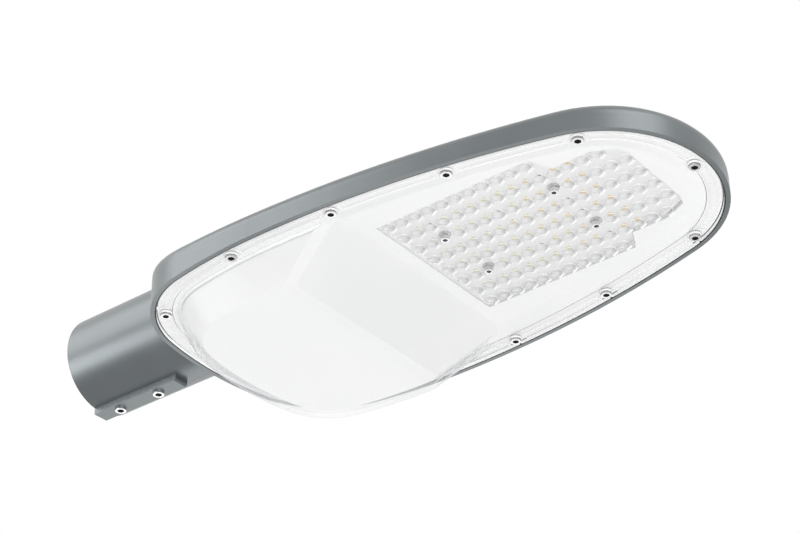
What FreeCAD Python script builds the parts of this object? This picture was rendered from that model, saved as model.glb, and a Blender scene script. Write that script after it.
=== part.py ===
import FreeCAD
import Part
import Sketcher
import math
import os
from FreeCAD import Rotation, Vector

# Street light head: a cast housing on a pole socket, a clear cover with a raised bay over the
# control gear, a white liner, and a board of light-emitting diodes behind a plate of lenses.
# Millimetres. +X runs from the pole to the tip, +Z is up, and the light comes out downwards.
# The origin is on the axis of the pole socket, at its mouth.

document = FreeCAD.newDocument("street_light_head")

# Driving dimensions, one plain number to a cell.
SIZES = {
    # Pole socket
    "socket_radius": 37.0,
    "socket_bore_radius": 30.4,
    "socket_depth": 85.0,
    "stop_radius": 27.0,
    "bulkhead_start": 104.0,
    "clamp_boss_length": 79.0,
    "clamp_boss_width": 12.0,
    "clamp_boss_bottom": 41.4,
    "clamp_boss_end_radius": 2.0,
    "clamp_screw_first": 20.5,
    "clamp_screw_pitch": 37.0,
    "clamp_screw_radius": 4.0,
    "clamp_screw_length": 12.4,
    "clamp_screw_socket": 4.6,
    "clamp_screw_socket_depth": 5.0,
    "clamp_screw_tip_gap": 0.4,
    # Plan outline of the cover, as arcs that run into each other
    "face_drop": 43.0,
    "outline_tip": 503.0,
    "outline_rear": 109.7,
    "outline_half_width": 106.7,
    "outline_widest": 237.0,
    "tip_radius": 81.0,
    "tip_arc_half_width": 49.2,
    "tip_corner_radius": 75.5,
    "rear_side_radius": 397.0,
    "rear_corner_radius": 70.0,
    "rear_radius": 251.0,
    # Housing shell
    "cover_gap": 1.0,
    "rim_lip": 3.0,
    "rim_top_drop": 27.0,
    "shoulder_radius": 10.0,
    "roof_beyond": 11.3,
    "crown_rear": 8.0,
    "crown_gear": 0.0,
    "crown_divider": -14.0,
    "crown_lamp": -20.0,
    "crown_tip": -23.0,
    "crown_rear_place": 80.0,
    "crown_gear_place": 200.0,
    "crown_divider_place": 300.0,
    "crown_lamp_place": 400.0,
    "crown_tip_place": 520.0,
    "socket_overlap": 10.0,
    "spine_end": 300.0,
    "spine_end_radius": 14.0,
    "spine_end_drop": 30.0,
    "spine_wall": 4.0,
    "roof_wall": 3.5,
    "side_wall_inset": 2.0,
    "seat_thickness": 4.2,
    "platform_drop": 30.9,
    "divider_place": 288.0,
    "divider_thickness": 4.0,
    "lead_notch_width": 16.0,
    "lead_notch_height": 6.0,
    "fin_thickness": 2.6,
    "fin_height": 9.0,
    "fin_pitch": 15.0,
    "fin_count": 11.0,
    "fin_start": 306.0,
    "fin_inset": 15.0,
    "boss_root": 0.5,
    "boss_front_reach": 20.0,
    # Clear cover
    "cover_thickness": 2.5,
    "flange_width": 12.3,
    "step_width": 10.0,
    "step_depth": 1.8,
    "bay_depth": 25.0,
    "bay_wall_lean": 12.7,
    "bay_front": 291.0,
    "bay_front_run": 43.0,
    "bay_corner_cut": 2.4,
    "bay_edge_radius": 2.0,
    "bay_rear_shift": 3.0,
    "flange_groove_depth": 0.7,
    "flange_groove_start": 2.8,
    "flange_groove_width": 5.0,
    "screw_pad_radius": 8.0,
    "edge_notch_radius": 1.1,
    # Cover screws
    "cover_screw_first": 135.3,
    "cover_screw_pitch": 80.2,
    "cover_screw_inset": 6.4,
    "cover_screw_radius": 2.0,
    "cover_screw_head_radius": 3.5,
    "cover_screw_head_height": 2.8,
    "cover_screw_length": 12.0,
    "cover_screw_socket": 4.0,
    "cover_screw_socket_depth": 1.8,
    "cover_screw_sink": 1.5,
    "tip_screw_set_back": 1.0,
    "screw_hole_clearance": 0.3,
    "head_clearance": 0.6,
    "thread_clearance": 0.05,
    "screw_boss_radius": 5.0,
    "screw_boss_height": 9.0,
    "blind_hole_extra": 1.5,
    # Gasket
    "gasket_thickness": 1.3,
    "gasket_edge_inset": 0.7,
    "gasket_width": 9.6,
    # White liner
    "liner_thickness": 1.0,
    "liner_gap": 1.8,
    "liner_edge_gap": 0.4,
    "liner_lift": 1.5,
    "liner_edge_radius": 1.0,
    "liner_window_lap": 1.0,
    # Lamp board and lenses
    "lens_pitch_along": 10.38,
    "lens_pitch_across": 15.64,
    "lens_first": 306.9,
    "lens_radius": 4.6,
    "lens_height": 2.1,
    "lens_root": 0.3,
    "lens_plate_margin": 6.6,
    "lens_plate_thickness": 2.4,
    "lens_plate_recess": 1.0,
    "lens_plate_rim": 1.6,
    "board_margin": 4.0,
    "board_rear_margin": 6.2,
    "board_thickness": 1.6,
    "pad_thickness": 0.5,
    "pad_margin": 1.0,
    "diode_side": 3.0,
    "diode_height": 0.65,
    "lens_screw_radius": 1.5,
    "lens_screw_head_radius": 2.75,
    "lens_screw_head_height": 2.6,
    "lens_screw_length": 10.0,
    "lens_screw_socket": 3.0,
    "lens_screw_socket_depth": 1.5,
    "lens_screw_tip_gap": 0.5,
    "lens_pillar_wall": 1.0,
    "connector_length": 5.0,
    "connector_width": 9.0,
    "connector_height": 2.6,
    "connector_gap": 0.4,
    "lead_radius": 1.1,
    "lead_pitch": 3.4,
    # Control gear
    "tray_rear": 132.0,
    "tray_front": 282.0,
    "tray_driver_margin": 12.5,
    "tray_surge_margin": 8.0,
    "tray_drop": 22.0,
    "tray_thickness": 1.5,
    "tray_screw_edge": 8.0,
    "pillar_radius": 5.5,
    "gear_screw_radius": 2.0,
    "gear_screw_head_radius": 3.6,
    "gear_screw_head_height": 2.2,
    "gear_screw_length": 8.0,
    "gear_screw_slot_width": 1.0,
    "gear_screw_slot_depth": 1.0,
    "short_screw_beyond": 1.5,
    "earth_screw_beyond": 3.0,
    "driver_rear": 144.0,
    "driver_length": 112.0,
    "driver_width": 54.0,
    "driver_height": 29.0,
    "driver_edge_radius": 3.0,
    "driver_cap_thickness": 2.0,
    "driver_tab_length": 8.0,
    "driver_tab_width": 16.0,
    "driver_tab_thickness": 1.5,
    "surge_rear": 198.0,
    "surge_length": 48.0,
    "surge_gap": 3.5,
    "surge_width": 36.0,
    "surge_height": 24.0,
    "terminal_rear": 158.0,
    "terminal_length": 32.0,
    "terminal_gap": 5.5,
    "terminal_width": 26.0,
    "terminal_height": 17.0,
    "terminal_ways": 3.0,
    "terminal_hole_radius": 2.6,
    "terminal_screw_radius": 2.2,
    "terminal_screw_height": 2.0,
    "terminal_screw_sink": 1.0,
    "terminal_slot_width": 0.8,
    "terminal_slot_depth": 0.8,
    "clamp_bar_rear": 136.0,
    "clamp_bar_length": 8.0,
    "clamp_bar_width": 30.0,
    "clamp_bar_height": 9.0,
    "clamp_bar_groove_radius": 4.0,
    "clamp_bar_screw_edge": 5.0,
    "earth_place": 266.0,
    "earth_edge": 17.0,
    "earth_washer_radius": 5.0,
    "earth_washer_thickness": 1.0,
    # Cable entry and vent in the bulkhead
    "gland_thread_radius": 8.0,
    "gland_flange_radius": 12.0,
    "gland_flange_thickness": 5.0,
    "gland_cap_radius": 11.0,
    "gland_cap_length": 12.0,
    "gland_bore_radius": 6.2,
    "gland_thread_beyond": 6.5,
    "gland_nut_thickness": 5.0,
    "gland_nut_flats": 22.8,
    "gland_seat_depth": 0.8,
    "gland_seat_margin": 3.0,
    "gland_seat_reach": 12.0,
    "gland_seal_hole_radius": 3.6,
    "gland_seal_wall_gap": 0.1,
    "gland_seal_step": 1.5,
    "hole_clearance": 0.2,
    "vent_height": 20.0,
    "vent_head_radius": 6.0,
    "vent_head_thickness": 3.5,
    "vent_stem_radius": 3.8,
    "vent_stem_beyond": 2.0,
    "vent_bore_radius": 1.5,
    "vent_head_wall": 1.5,
}

sheet = document.addObject("Spreadsheet::Sheet", "Dimensions")
for row_number, (size_name, size_value) in enumerate(SIZES.items(), start=1):
    sheet.set(f"A{row_number}", size_name)
    sheet.set(f"B{row_number}", str(size_value))
    sheet.setAlias(f"B{row_number}", size_name)
document.recompute()


class Size:
    """A length that knows its number and the sheet expression that gives it."""

    def __init__(self, number, text):
        self.number = float(number)
        self.text = text

    def __add__(self, other):
        other = as_size(other)
        return Size(self.number + other.number, f"({self.text} + {other.text})")

    def __sub__(self, other):
        other = as_size(other)
        return Size(self.number - other.number, f"({self.text} - {other.text})")

    def __mul__(self, other):
        other = as_size(other)
        return Size(self.number * other.number, f"({self.text} * {other.text})")

    def __neg__(self):
        return Size(-self.number, f"(0 - {self.text})")

    def __float__(self):
        return self.number


def as_size(value):
    if isinstance(value, Size):
        return value
    return Size(value, f"({value})")


def size(name):
    return Size(sheet.get(name), f"Dimensions.{name}")


def length(name):
    return float(sheet.get(name))


# Heights that several pieces share
face_z = -size("face_drop")
flange_back_z = face_z + size("cover_thickness")
seat_z = flange_back_z + size("gasket_thickness")
platform_z = -size("platform_drop")
board_z = platform_z - size("pad_thickness") - size("board_thickness")
lens_face_z = board_z - size("lens_plate_thickness")
tray_z = -size("tray_drop")
tray_face_z = tray_z - size("tray_thickness")
nut_seat_x = size("outline_rear") + size("side_wall_inset") + size("gland_seat_depth")

# How far a cutting tool runs past the face that it cuts, a length that passes right through
# the part, and the tolerance for finding an edge by its place
OVERRUN = 1.0
FAR = length("outline_tip") * 2
NEAR = 0.01

nodes = []


def keep(piece, label):
    piece.Label = label
    nodes.append(piece)
    return piece


def shape_node(label, shape):
    feature = document.addObject("Part::Feature", label)
    feature.Shape = shape
    return keep(feature, label)


# Bound primitives
def bind(piece, properties):
    for name, value in properties.items():
        piece.setExpression(name, as_size(value).text)


def box(name, low, high):
    """A block between two corners, each given as three sizes."""
    piece = document.addObject("Part::Box", name)
    low = [as_size(value) for value in low]
    high = [as_size(value) for value in high]
    bind(piece, {
        "Length": high[0] - low[0],
        "Width": high[1] - low[1],
        "Height": high[2] - low[2],
        "Placement.Base.x": low[0],
        "Placement.Base.y": low[1],
        "Placement.Base.z": low[2],
    })
    return piece


TURNS = {
    "X": Rotation(Vector(0, 1, 0), 90),
    "Y": Rotation(Vector(1, 0, 0), -90),
    "Z": Rotation(),
}


def cylinder(name, start, radius, height, axis="Z"):
    """A round bar that starts at a point and runs along an axis."""
    piece = document.addObject("Part::Cylinder", name)
    piece.Placement = FreeCAD.Placement(Vector(), TURNS[axis])
    start = [as_size(value) for value in start]
    bind(piece, {
        "Radius": radius,
        "Height": height,
        "Placement.Base.x": start[0],
        "Placement.Base.y": start[1],
        "Placement.Base.z": start[2],
    })
    return piece


def cut(name, base, tools):
    joined = tools[0]
    if len(tools) > 1:
        joined = document.addObject("Part::MultiFuse", f"{name}_tools")
        joined.Shapes = tools
    piece = document.addObject("Part::Cut", name)
    piece.Base = base
    piece.Tool = joined
    return piece


def fuse(name, pieces):
    piece = document.addObject("Part::MultiFuse", name)
    piece.Shapes = pieces
    return piece


# Bodies with bound sketches
def origin_plane(body, role):
    return next(item for item in body.Origin.OriginFeatures if item.Role == role)


def bound_profile(sketch, corners):
    """Join corners in a closed loop and bind each corner's two coordinates."""
    count = len(corners)
    numbers = [(float(across), float(up)) for across, up in corners]
    for index in range(count):
        start = Vector(*numbers[index], 0)
        end = Vector(*numbers[(index + 1) % count], 0)
        sketch.addGeometry(Part.LineSegment(start, end), False)
    for index in range(count):
        following = (index + 1) % count
        sketch.addConstraint(Sketcher.Constraint("Coincident", index, 2, following, 1))
    for index, corner in enumerate(corners):
        for kind, value, axis in (("DistanceX", corner[0], -2), ("DistanceY", corner[1], -1)):
            value = as_size(value)
            if value.number == 0.0 and "Dimensions" not in value.text:
                sketch.addConstraint(Sketcher.Constraint("PointOnObject", index, 1, axis))
                continue
            number = sketch.addConstraint(
                Sketcher.Constraint(kind, -1, 1, index, 1, value.number))
            sketch.setExpression(f"Constraints[{number}]", value.text)


def turned_body(name, corners):
    """A body turned about Z from a half section given as radius and height."""
    body = document.addObject("PartDesign::Body", name)
    sketch = body.newObject("Sketcher::SketchObject", f"{name}_section")
    sketch.AttachmentSupport = [(origin_plane(body, "XZ_Plane"), "")]
    sketch.MapMode = "FlatFace"
    bound_profile(sketch, corners)
    turned = body.newObject("PartDesign::Revolution", f"{name}_turned")
    turned.Profile = sketch
    turned.ReferenceAxis = (sketch, ["V_Axis"])
    turned.Angle = 360
    document.recompute()
    return body


def padded_body(name, corners, thickness, height):
    """A flat plate: a closed outline in plan, raised by its thickness."""
    body = document.addObject("PartDesign::Body", name)
    sketch = body.newObject("Sketcher::SketchObject", f"{name}_outline")
    sketch.AttachmentSupport = [(origin_plane(body, "XY_Plane"), "")]
    sketch.MapMode = "FlatFace"
    bound_profile(sketch, corners)
    pad = body.newObject("PartDesign::Pad", f"{name}_pad")
    pad.Profile = sketch
    pad.setExpression("Length", as_size(thickness).text)
    body.setExpression("Placement.Base.z", as_size(height).text)
    document.recompute()
    return body


def bound_circles(sketch, centres, radius):
    for index, (across, up) in enumerate(centres):
        across = as_size(across)
        up = as_size(up)
        centre = Vector(across.number, up.number, 0)
        sketch.addGeometry(Part.Circle(centre, Vector(0, 0, 1), float(radius)), False)
        for kind, value in (("DistanceX", across), ("DistanceY", up)):
            number = sketch.addConstraint(
                Sketcher.Constraint(kind, -1, 1, index, 3, value.number))
            sketch.setExpression(f"Constraints[{number}]", value.text)
        number = sketch.addConstraint(Sketcher.Constraint("Radius", index, float(radius)))
        sketch.setExpression(f"Constraints[{number}]", as_size(radius).text)


def drill(body, name, centres, radius):
    """Round holes through a plate, and a check that they took material away."""
    before = body.Shape.Volume
    sketch = body.newObject("Sketcher::SketchObject", f"{name}_centres")
    sketch.AttachmentSupport = [(origin_plane(body, "XY_Plane"), "")]
    sketch.MapMode = "FlatFace"
    bound_circles(sketch, centres, radius)
    pocket = body.newObject("PartDesign::Pocket", name)
    pocket.Profile = sketch
    pocket.Type = "ThroughAll"
    pocket.Reversed = True
    document.recompute()
    if body.Shape.Volume >= before:
        raise RuntimeError(f"{name} cut nothing")


def hex_points(across_flats):
    corner = float(across_flats) / 2.0 / math.cos(math.radians(30))
    points = [Vector(corner * math.cos(math.radians(60 * step)),
                     corner * math.sin(math.radians(60 * step)), 0) for step in range(6)]
    return points + [points[0]]


def socket_screw(name, head_radius, head_height, shank_radius, shank_length, socket, depth):
    """A screw with a hexagon socket: head face at z = 0, shank upwards."""
    body = turned_body(name, [
        (0, 0),
        (head_radius, 0),
        (head_radius, head_height),
        (shank_radius, head_height),
        (shank_radius, head_height + shank_length),
        (0, head_height + shank_length),
    ])
    socket_body = Part.Face(Part.makePolygon(hex_points(socket)))
    return body.Shape.cut(socket_body.extrude(Vector(0, 0, float(depth))))


def slotted_screw(name, head_radius, head_height, shank_radius, shank_length, width, depth):
    """A pan screw with a straight slot: head face at z = 0, shank upwards."""
    body = turned_body(name, [
        (0, 0),
        (head_radius, 0),
        (head_radius, head_height),
        (shank_radius, head_height),
        (shank_radius, head_height + shank_length),
        (0, head_height + shank_length),
    ])
    slot_length = (float(head_radius) + OVERRUN) * 2
    slot = Part.makeBox(slot_length, float(width), float(depth),
                        Vector(-slot_length / 2, -float(width) / 2, 0))
    return body.Shape.cut(slot)


def copies(shape, places):
    """The same piece at several places, as separate solids."""
    group = []
    for place in places:
        moved = shape.copy()
        moved.translate(Vector(*[float(value) for value in place]))
        group.append(moved)
    return Part.makeCompound(group)


# Plan outline
def meeting_centre(first, first_reach, second, second_reach):
    """The rear one of the two points at given distances from two centres."""
    span = second - first
    along = (first_reach ** 2 - second_reach ** 2 + span.Length ** 2) / (2 * span.Length)
    aside = math.sqrt(first_reach ** 2 - along ** 2)
    direction = Vector(span).normalize()
    normal = Vector(-direction.y, direction.x, 0)
    foot = first + direction * along
    return min((foot + normal * aside, foot - normal * aside), key=lambda p: p.x)


def outline_arcs(rear_shift):
    """Centre and radius of each arc of the half outline, from tip to rear."""
    tip = length("tip_radius")
    tip_corner = length("tip_corner_radius")
    back = length("rear_side_radius")
    rear_corner = length("rear_corner_radius")
    rear = length("rear_radius")
    widest = length("outline_widest")
    half = length("outline_half_width")
    tip_centre = Vector(length("outline_tip") - tip, 0, 0)
    turn = math.asin(length("tip_arc_half_width") / tip)
    tip_corner_centre = tip_centre + Vector(math.cos(turn), math.sin(turn), 0) * (tip - tip_corner)
    # The front side arc starts straight at the widest place and runs into the tip corner.
    along = tip_corner_centre.x - widest
    aside = half - tip_corner_centre.y
    front = (along ** 2 + aside ** 2 - tip_corner ** 2) / (2 * (aside - tip_corner))
    front_centre = Vector(widest, half - front, 0)
    back_centre = Vector(widest, half - back, 0)
    rear_centre = Vector(length("outline_rear") + rear_shift + rear, 0, 0)
    rear_corner_centre = meeting_centre(
        rear_centre, rear - rear_corner, back_centre, back - rear_corner)
    return [
        (tip_centre, tip),
        (tip_corner_centre, tip_corner),
        (front_centre, front),
        (back_centre, back),
        (rear_corner_centre, rear_corner),
        (rear_centre, rear),
    ]


def outline_joints(arcs):
    """Unit direction from the larger centre to each place where two arcs meet."""
    joints = []
    for (first, first_radius), (second, second_radius) in zip(arcs, arcs[1:]):
        if first_radius > second_radius:
            joints.append((first, first_radius, Vector(second - first).normalize()))
        else:
            joints.append((second, second_radius, Vector(first - second).normalize()))
    # The two side arcs meet at the widest place, straight out from both centres.
    joints[2] = (arcs[2][0], arcs[2][1], Vector(0, 1, 0))
    return joints


def outline_wire(inset, height, rear_shift=0.0):
    """The plan outline, moved inwards by the inset, as a closed wire."""
    arcs = outline_arcs(rear_shift)
    ends = [Vector(length("outline_tip") - inset, 0, 0)]
    ends += [centre + direction * (radius - inset)
             for centre, radius, direction in outline_joints(arcs)]
    ends += [Vector(length("outline_rear") + rear_shift + inset, 0, 0)]
    upper = []
    for index, (centre, radius) in enumerate(arcs):
        start = ends[index]
        end = ends[index + 1]
        middle = (start + end) * 0.5 - centre
        middle = centre + middle.normalize() * (radius - inset)
        upper.append((start, middle, end))

    def mirrored(point):
        return Vector(point.x, -point.y, 0)

    tip_joint = ends[1]
    rear_joint = ends[-2]
    edges = [Part.Arc(mirrored(tip_joint), ends[0], tip_joint)]
    edges += [Part.Arc(*points) for points in upper[1:-1]]
    edges += [Part.Arc(rear_joint, ends[-1], mirrored(rear_joint))]
    for start, middle, end in reversed(upper[1:-1]):
        edges.append(Part.Arc(mirrored(end), mirrored(middle), mirrored(start)))
    wire = Part.Wire([edge.toShape() for edge in edges])
    wire.translate(Vector(0, 0, height))
    return wire


def prism(inset, bottom, top):
    inset, bottom, top = float(inset), float(bottom), float(top)
    return Part.Face(outline_wire(inset, bottom)).extrude(Vector(0, 0, top - bottom))


def frustum(low_inset, bottom, high_inset, top, low_rear_shift=0.0):
    wires = [outline_wire(float(low_inset), float(bottom), low_rear_shift),
             outline_wire(float(high_inset), float(top))]
    return Part.makeLoft(wires, True, True)


def half_width_at(place, inset):
    """Half width of the outline at a place along X."""
    arcs = outline_arcs(0.0)
    ends = [length("outline_tip") - inset]
    ends += [centre.x + direction.x * (radius - inset)
             for centre, radius, direction in outline_joints(arcs)]
    ends += [length("outline_rear") + inset]
    for index, (centre, radius) in enumerate(arcs):
        if ends[index + 1] <= place <= ends[index]:
            return centre.y + math.sqrt((radius - inset) ** 2 - (place - centre.x) ** 2)
    raise ValueError(f"{place} lies off the outline")


def cover_screw_places():
    """Five pairs along the sides and one at the tip."""
    inset = length("cover_screw_inset")
    places = [(length("outline_tip") - inset - length("tip_screw_set_back"), 0.0)]
    for index in range(5):
        along = length("cover_screw_first") + index * length("cover_screw_pitch")
        aside = half_width_at(along, inset)
        places += [(along, aside), (along, -aside)]
    return places


SCREW_PLACES = cover_screw_places()


# Roof and spine of the housing
def roof(rise):
    """Everything under the roof surface, moved up by the rise."""
    span = length("outline_half_width") + length("roof_beyond")
    edge = -length("rim_top_drop") + rise
    floor = float(face_z) - OVERRUN
    wires = []
    for part in ("rear", "gear", "divider", "lamp", "tip"):
        place = length(f"crown_{part}_place")
        crown = length(f"crown_{part}") + rise
        left = Vector(place, -span, edge)
        right = Vector(place, span, edge)
        corners = [Vector(place, span, floor), Vector(place, -span, floor)]
        wires.append(Part.Wire([
            Part.Arc(left, Vector(place, 0, crown), right).toShape(),
            Part.makeLine(right, corners[0]),
            Part.makeLine(corners[0], corners[1]),
            Part.makeLine(corners[1], left),
        ]))
    return Part.makeLoft(wires, True, False)


def spine(shrink):
    """The tapering form that carries the round socket on over the gear bay."""
    rings = [
        (length("bulkhead_start") + length("socket_overlap"), length("socket_radius"), 0),
        (length("spine_end"), length("spine_end_radius"), -length("spine_end_drop")),
    ]
    wires = []
    for place, radius, height in rings:
        circle = Part.Circle(Vector(place, 0, height), Vector(1, 0, 0), radius - shrink)
        wires.append(Part.Wire([circle.toShape()]))
    return Part.makeLoft(wires, True, True)


def bar(place, radius, bottom, top):
    """An upright round bar."""
    return Part.makeCylinder(float(radius), float(top) - float(bottom),
                             Vector(place[0], place[1], float(bottom)))


def slab(x_low, x_high, y_low, y_high, z_low, z_high):
    values = [float(value) for value in (x_low, x_high, y_low, y_high, z_low, z_high)]
    x_low, x_high, y_low, y_high, z_low, z_high = values
    return Part.makeBox(x_high - x_low, y_high - y_low, z_high - z_low,
                        Vector(x_low, y_low, z_low))


def one_solid(shape):
    """The only solid of a boolean's result."""
    if len(shape.Solids) != 1:
        raise RuntimeError(f"{len(shape.Solids)} solids where one is wanted")
    return shape.Solids[0]


def joined(solid, pieces):
    for piece in pieces:
        solid = solid.fuse(piece)
    return one_solid(solid)


def hollowed(solid, tools):
    for tool in tools:
        solid = solid.cut(tool)
    return one_solid(solid)


# The driver and the surge protector lie side by side across the tray, and set its width.
tray_half = (size("tray_driver_margin") + size("driver_width") + size("surge_gap")
             + size("surge_width") + size("tray_surge_margin")) * 0.5
driver_side = size("tray_driver_margin") - tray_half
driver_far = driver_side + size("driver_width")


def tray_screw_places():
    edge = length("tray_screw_edge")
    side = float(tray_half) - edge
    return [(along, aside)
            for along in (length("tray_rear") + edge, length("tray_front") - edge)
            for aside in (-side, side)]


TRAY_SCREW_PLACES = tray_screw_places()
# Lenses in each row, counted from the rear
ROW_LENGTHS = [11, 15, 16, 16, 16, 16, 15, 11]
LAST_ROW = len(ROW_LENGTHS) - 1


def lens_place(column, row):
    along = length("lens_first") + column * length("lens_pitch_along")
    aside = (row - LAST_ROW / 2) * length("lens_pitch_across")
    return along, aside


LENS_SCREW_CELLS = [(2, 2), (10, 2), (2, 5), (10, 5)]
LENS_SCREW_PLACES = [lens_place(column, row) for column, row in LENS_SCREW_CELLS]
LENS_CELLS = [(column, row) for row, count in enumerate(ROW_LENGTHS) for column in range(count)
              if (column, row) not in LENS_SCREW_CELLS]
# Places on the board that carry no diode although their neighbours do
BARE_CELLS = [(2, 1), (10, 1), (6, 2), (10, 3), (10, 4), (6, 5), (10, 6)]
DIODE_CELLS = [(column, row) for column, row in LENS_CELLS
               if 1 <= row <= 6 and 1 <= column <= 12 and (column, row) not in BARE_CELLS]


def housing_blank():
    rim = -(length("cover_gap") + length("rim_lip"))
    block = prism(rim, face_z, length("socket_radius")).common(roof(0))
    shoulder = [edge for edge in block.Edges if edge.BoundBox.ZMin > float(face_z) + OVERRUN]
    return block.makeFillet(length("shoulder_radius"), shoulder)


def fins():
    """Straight cooling fins that follow the roof over the lamp board."""
    room = prism(size("fin_inset"), platform_z, FAR).common(roof(length("fin_height")))
    count = int(round(length("fin_count")))
    plates = []
    for index in range(count):
        middle = (index - (count - 1) / 2) * length("fin_pitch")
        half = length("fin_thickness") / 2
        plates.append(slab(length("fin_start"), length("outline_tip"), middle - half,
                           middle + half, platform_z, FAR).common(room))
    return plates


def gear_cavity():
    """The hollow over the bay that holds the control gear."""
    lower = seat_z + size("seat_thickness")
    divider = length("divider_place")
    room = prism(size("side_wall_inset"), lower, FAR)
    flat = room.common(roof(-length("roof_wall")))
    hollow = flat.fuse(room.common(spine(length("spine_wall"))))
    behind = slab(0, divider, -FAR, FAR, face_z, FAR)
    return hollow.common(behind)


def housing_shape():
    socket_end = length("bulkhead_start") + length("socket_overlap")
    socket = Part.makeCylinder(length("socket_radius"), socket_end, Vector(), Vector(1, 0, 0))
    above_face = slab(-FAR, FAR, -FAR, FAR, face_z, FAR)
    half_boss = length("clamp_boss_width") / 2
    mid_wall = (length("socket_radius") + length("socket_bore_radius")) / 2
    boss = slab(0, size("clamp_boss_length"), -half_boss, half_boss,
                -length("clamp_boss_bottom"), -mid_wall)
    boss_edges = [edge for edge in boss.Edges
                  if edge.BoundBox.XMin > length("clamp_boss_length") - NEAR
                  and edge.BoundBox.ZMax < -length("clamp_boss_bottom") + NEAR]
    boss = boss.makeFillet(length("clamp_boss_end_radius"), boss_edges)
    solid = joined(housing_blank(), [socket, spine(0).common(above_face), boss] + fins())

    divider_end = length("divider_place") + length("divider_thickness")
    cover_pocket = prism(-size("cover_gap"), face_z - OVERRUN, seat_z)
    mouth = prism(size("flange_width"), face_z - OVERRUN, seat_z + size("seat_thickness"))
    lamp_pocket = prism(size("flange_width"), face_z, platform_z)
    lamp_pocket = lamp_pocket.common(slab(divider_end, FAR, -FAR, FAR, face_z, platform_z))
    solid = hollowed(solid, [cover_pocket, mouth, lamp_pocket, gear_cavity()])

    boss_base = seat_z + size("seat_thickness") - size("boss_root")
    boss_top = boss_base + size("screw_boss_height")
    room = prism(0, face_z, FAR)
    under_roof = roof(-length("roof_wall") / 2)
    bosses = [bar(place, size("screw_boss_radius"), boss_base, boss_top).common(room)
              for place in SCREW_PLACES if place[0] < divider_end + length("boss_front_reach")]
    pillars = [bar(place, size("pillar_radius"), tray_z, FAR).common(under_roof)
               for place in TRAY_SCREW_PLACES]
    solid = joined(solid, bosses + pillars)

    bore = Part.makeCylinder(length("socket_bore_radius"), length("socket_depth") + OVERRUN,
                             Vector(-OVERRUN, 0, 0), Vector(1, 0, 0))
    stop = Part.makeCylinder(length("stop_radius"), length("bulkhead_start"), Vector(),
                             Vector(1, 0, 0))
    holes = [bore, stop]
    before_bulkhead = length("bulkhead_start") - OVERRUN
    through = float(nut_seat_x + size("gland_seat_reach")) - before_bulkhead
    gland_radius = length("gland_thread_radius") + length("hole_clearance")
    holes.append(Part.makeCylinder(gland_radius, through, Vector(before_bulkhead, 0, 0),
                                   Vector(1, 0, 0)))
    seat_radius = length("gland_flange_radius") + length("gland_seat_margin")
    holes.append(Part.makeCylinder(seat_radius, length("gland_seat_reach"),
                                   Vector(float(nut_seat_x), 0, 0), Vector(1, 0, 0)))
    vent_radius = length("vent_stem_radius") + length("hole_clearance")
    vent_start = Vector(before_bulkhead, 0, length("vent_height"))
    holes.append(Part.makeCylinder(vent_radius, through, vent_start, Vector(1, 0, 0)))
    thread = length("thread_clearance")
    for index in range(2):
        along = length("clamp_screw_first") + index * length("clamp_screw_pitch")
        holes.append(bar((along, 0), length("clamp_screw_radius") + thread,
                         -length("clamp_boss_bottom") - OVERRUN, 0))
    for place in SCREW_PLACES:
        depth = cover_screw_tip_z() + size("blind_hole_extra")
        holes.append(bar(place, length("cover_screw_radius") + thread, seat_z - OVERRUN, depth))
    for place in TRAY_SCREW_PLACES:
        top = tray_face_z + size("gear_screw_length") + size("blind_hole_extra")
        holes.append(bar(place, length("gear_screw_radius") + thread, tray_z - OVERRUN, top))
    for place in LENS_SCREW_PLACES:
        top = lens_face_z + size("lens_screw_length") + size("lens_screw_tip_gap")
        holes.append(bar(place, length("lens_screw_radius") + thread, platform_z - OVERRUN, top))
    notch_middle = connector_middle()
    half = length("lead_notch_width") / 2
    holes.append(slab(length("divider_place") - OVERRUN, divider_end + OVERRUN,
                      notch_middle - half, notch_middle + half, face_z,
                      seat_z + size("seat_thickness") + size("lead_notch_height")))
    return hollowed(solid, holes)


def cover_screw_seat_z():
    return face_z + size("cover_screw_sink")


def cover_screw_tip_z():
    return cover_screw_seat_z() + size("cover_screw_length")


def connector_middle():
    return lens_place(0, 2)[1]


# Trays with a raised bay: the clear cover and the liner share this form
def slope_run():
    return length("bay_front_run") / length("bay_depth")


def ahead_of_slope(inset, top):
    """Everything in front of the bay's sloping front, moved back by the inset."""
    run = slope_run()
    base = length("bay_front") - float(inset) * math.sqrt(1 + run ** 2)

    def on_slope(height):
        return Vector(base + (height + length("face_drop")) * run, -FAR, height)

    points = [
        on_slope(-FAR),
        on_slope(float(top)),
        Vector(FAR, -FAR, float(top)),
        Vector(FAR, -FAR, -FAR),
    ]
    face = Part.Face(Part.makePolygon(points + [points[0]]))
    return face.extrude(Vector(0, FAR * 2, 0))


def corner_cutter(inset, side):
    """A block that takes the sharp corner off between the side wall and the sloping front."""
    run = length("bay_front_run")
    depth = length("bay_depth")
    lean = length("bay_wall_lean")
    back = inset * math.sqrt(1 + slope_run() ** 2)
    place = length("bay_front") - back
    aside = half_width_at(place, length("flange_width") + inset)
    front_normal = Vector(depth, 0, -run).normalize()
    side_normal = Vector(0, side * depth, -lean).normalize()
    normal = (front_normal + side_normal).normalize()
    corner = Vector(place, side * aside, -length("face_drop"))
    block = Part.makeBox(FAR, FAR, FAR, Vector(-FAR / 2, -FAR / 2, 0))
    turn = Rotation(Vector(0, 0, 1), normal)
    block.Placement = FreeCAD.Placement(corner - normal * length("bay_corner_cut"), turn)
    return block


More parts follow.
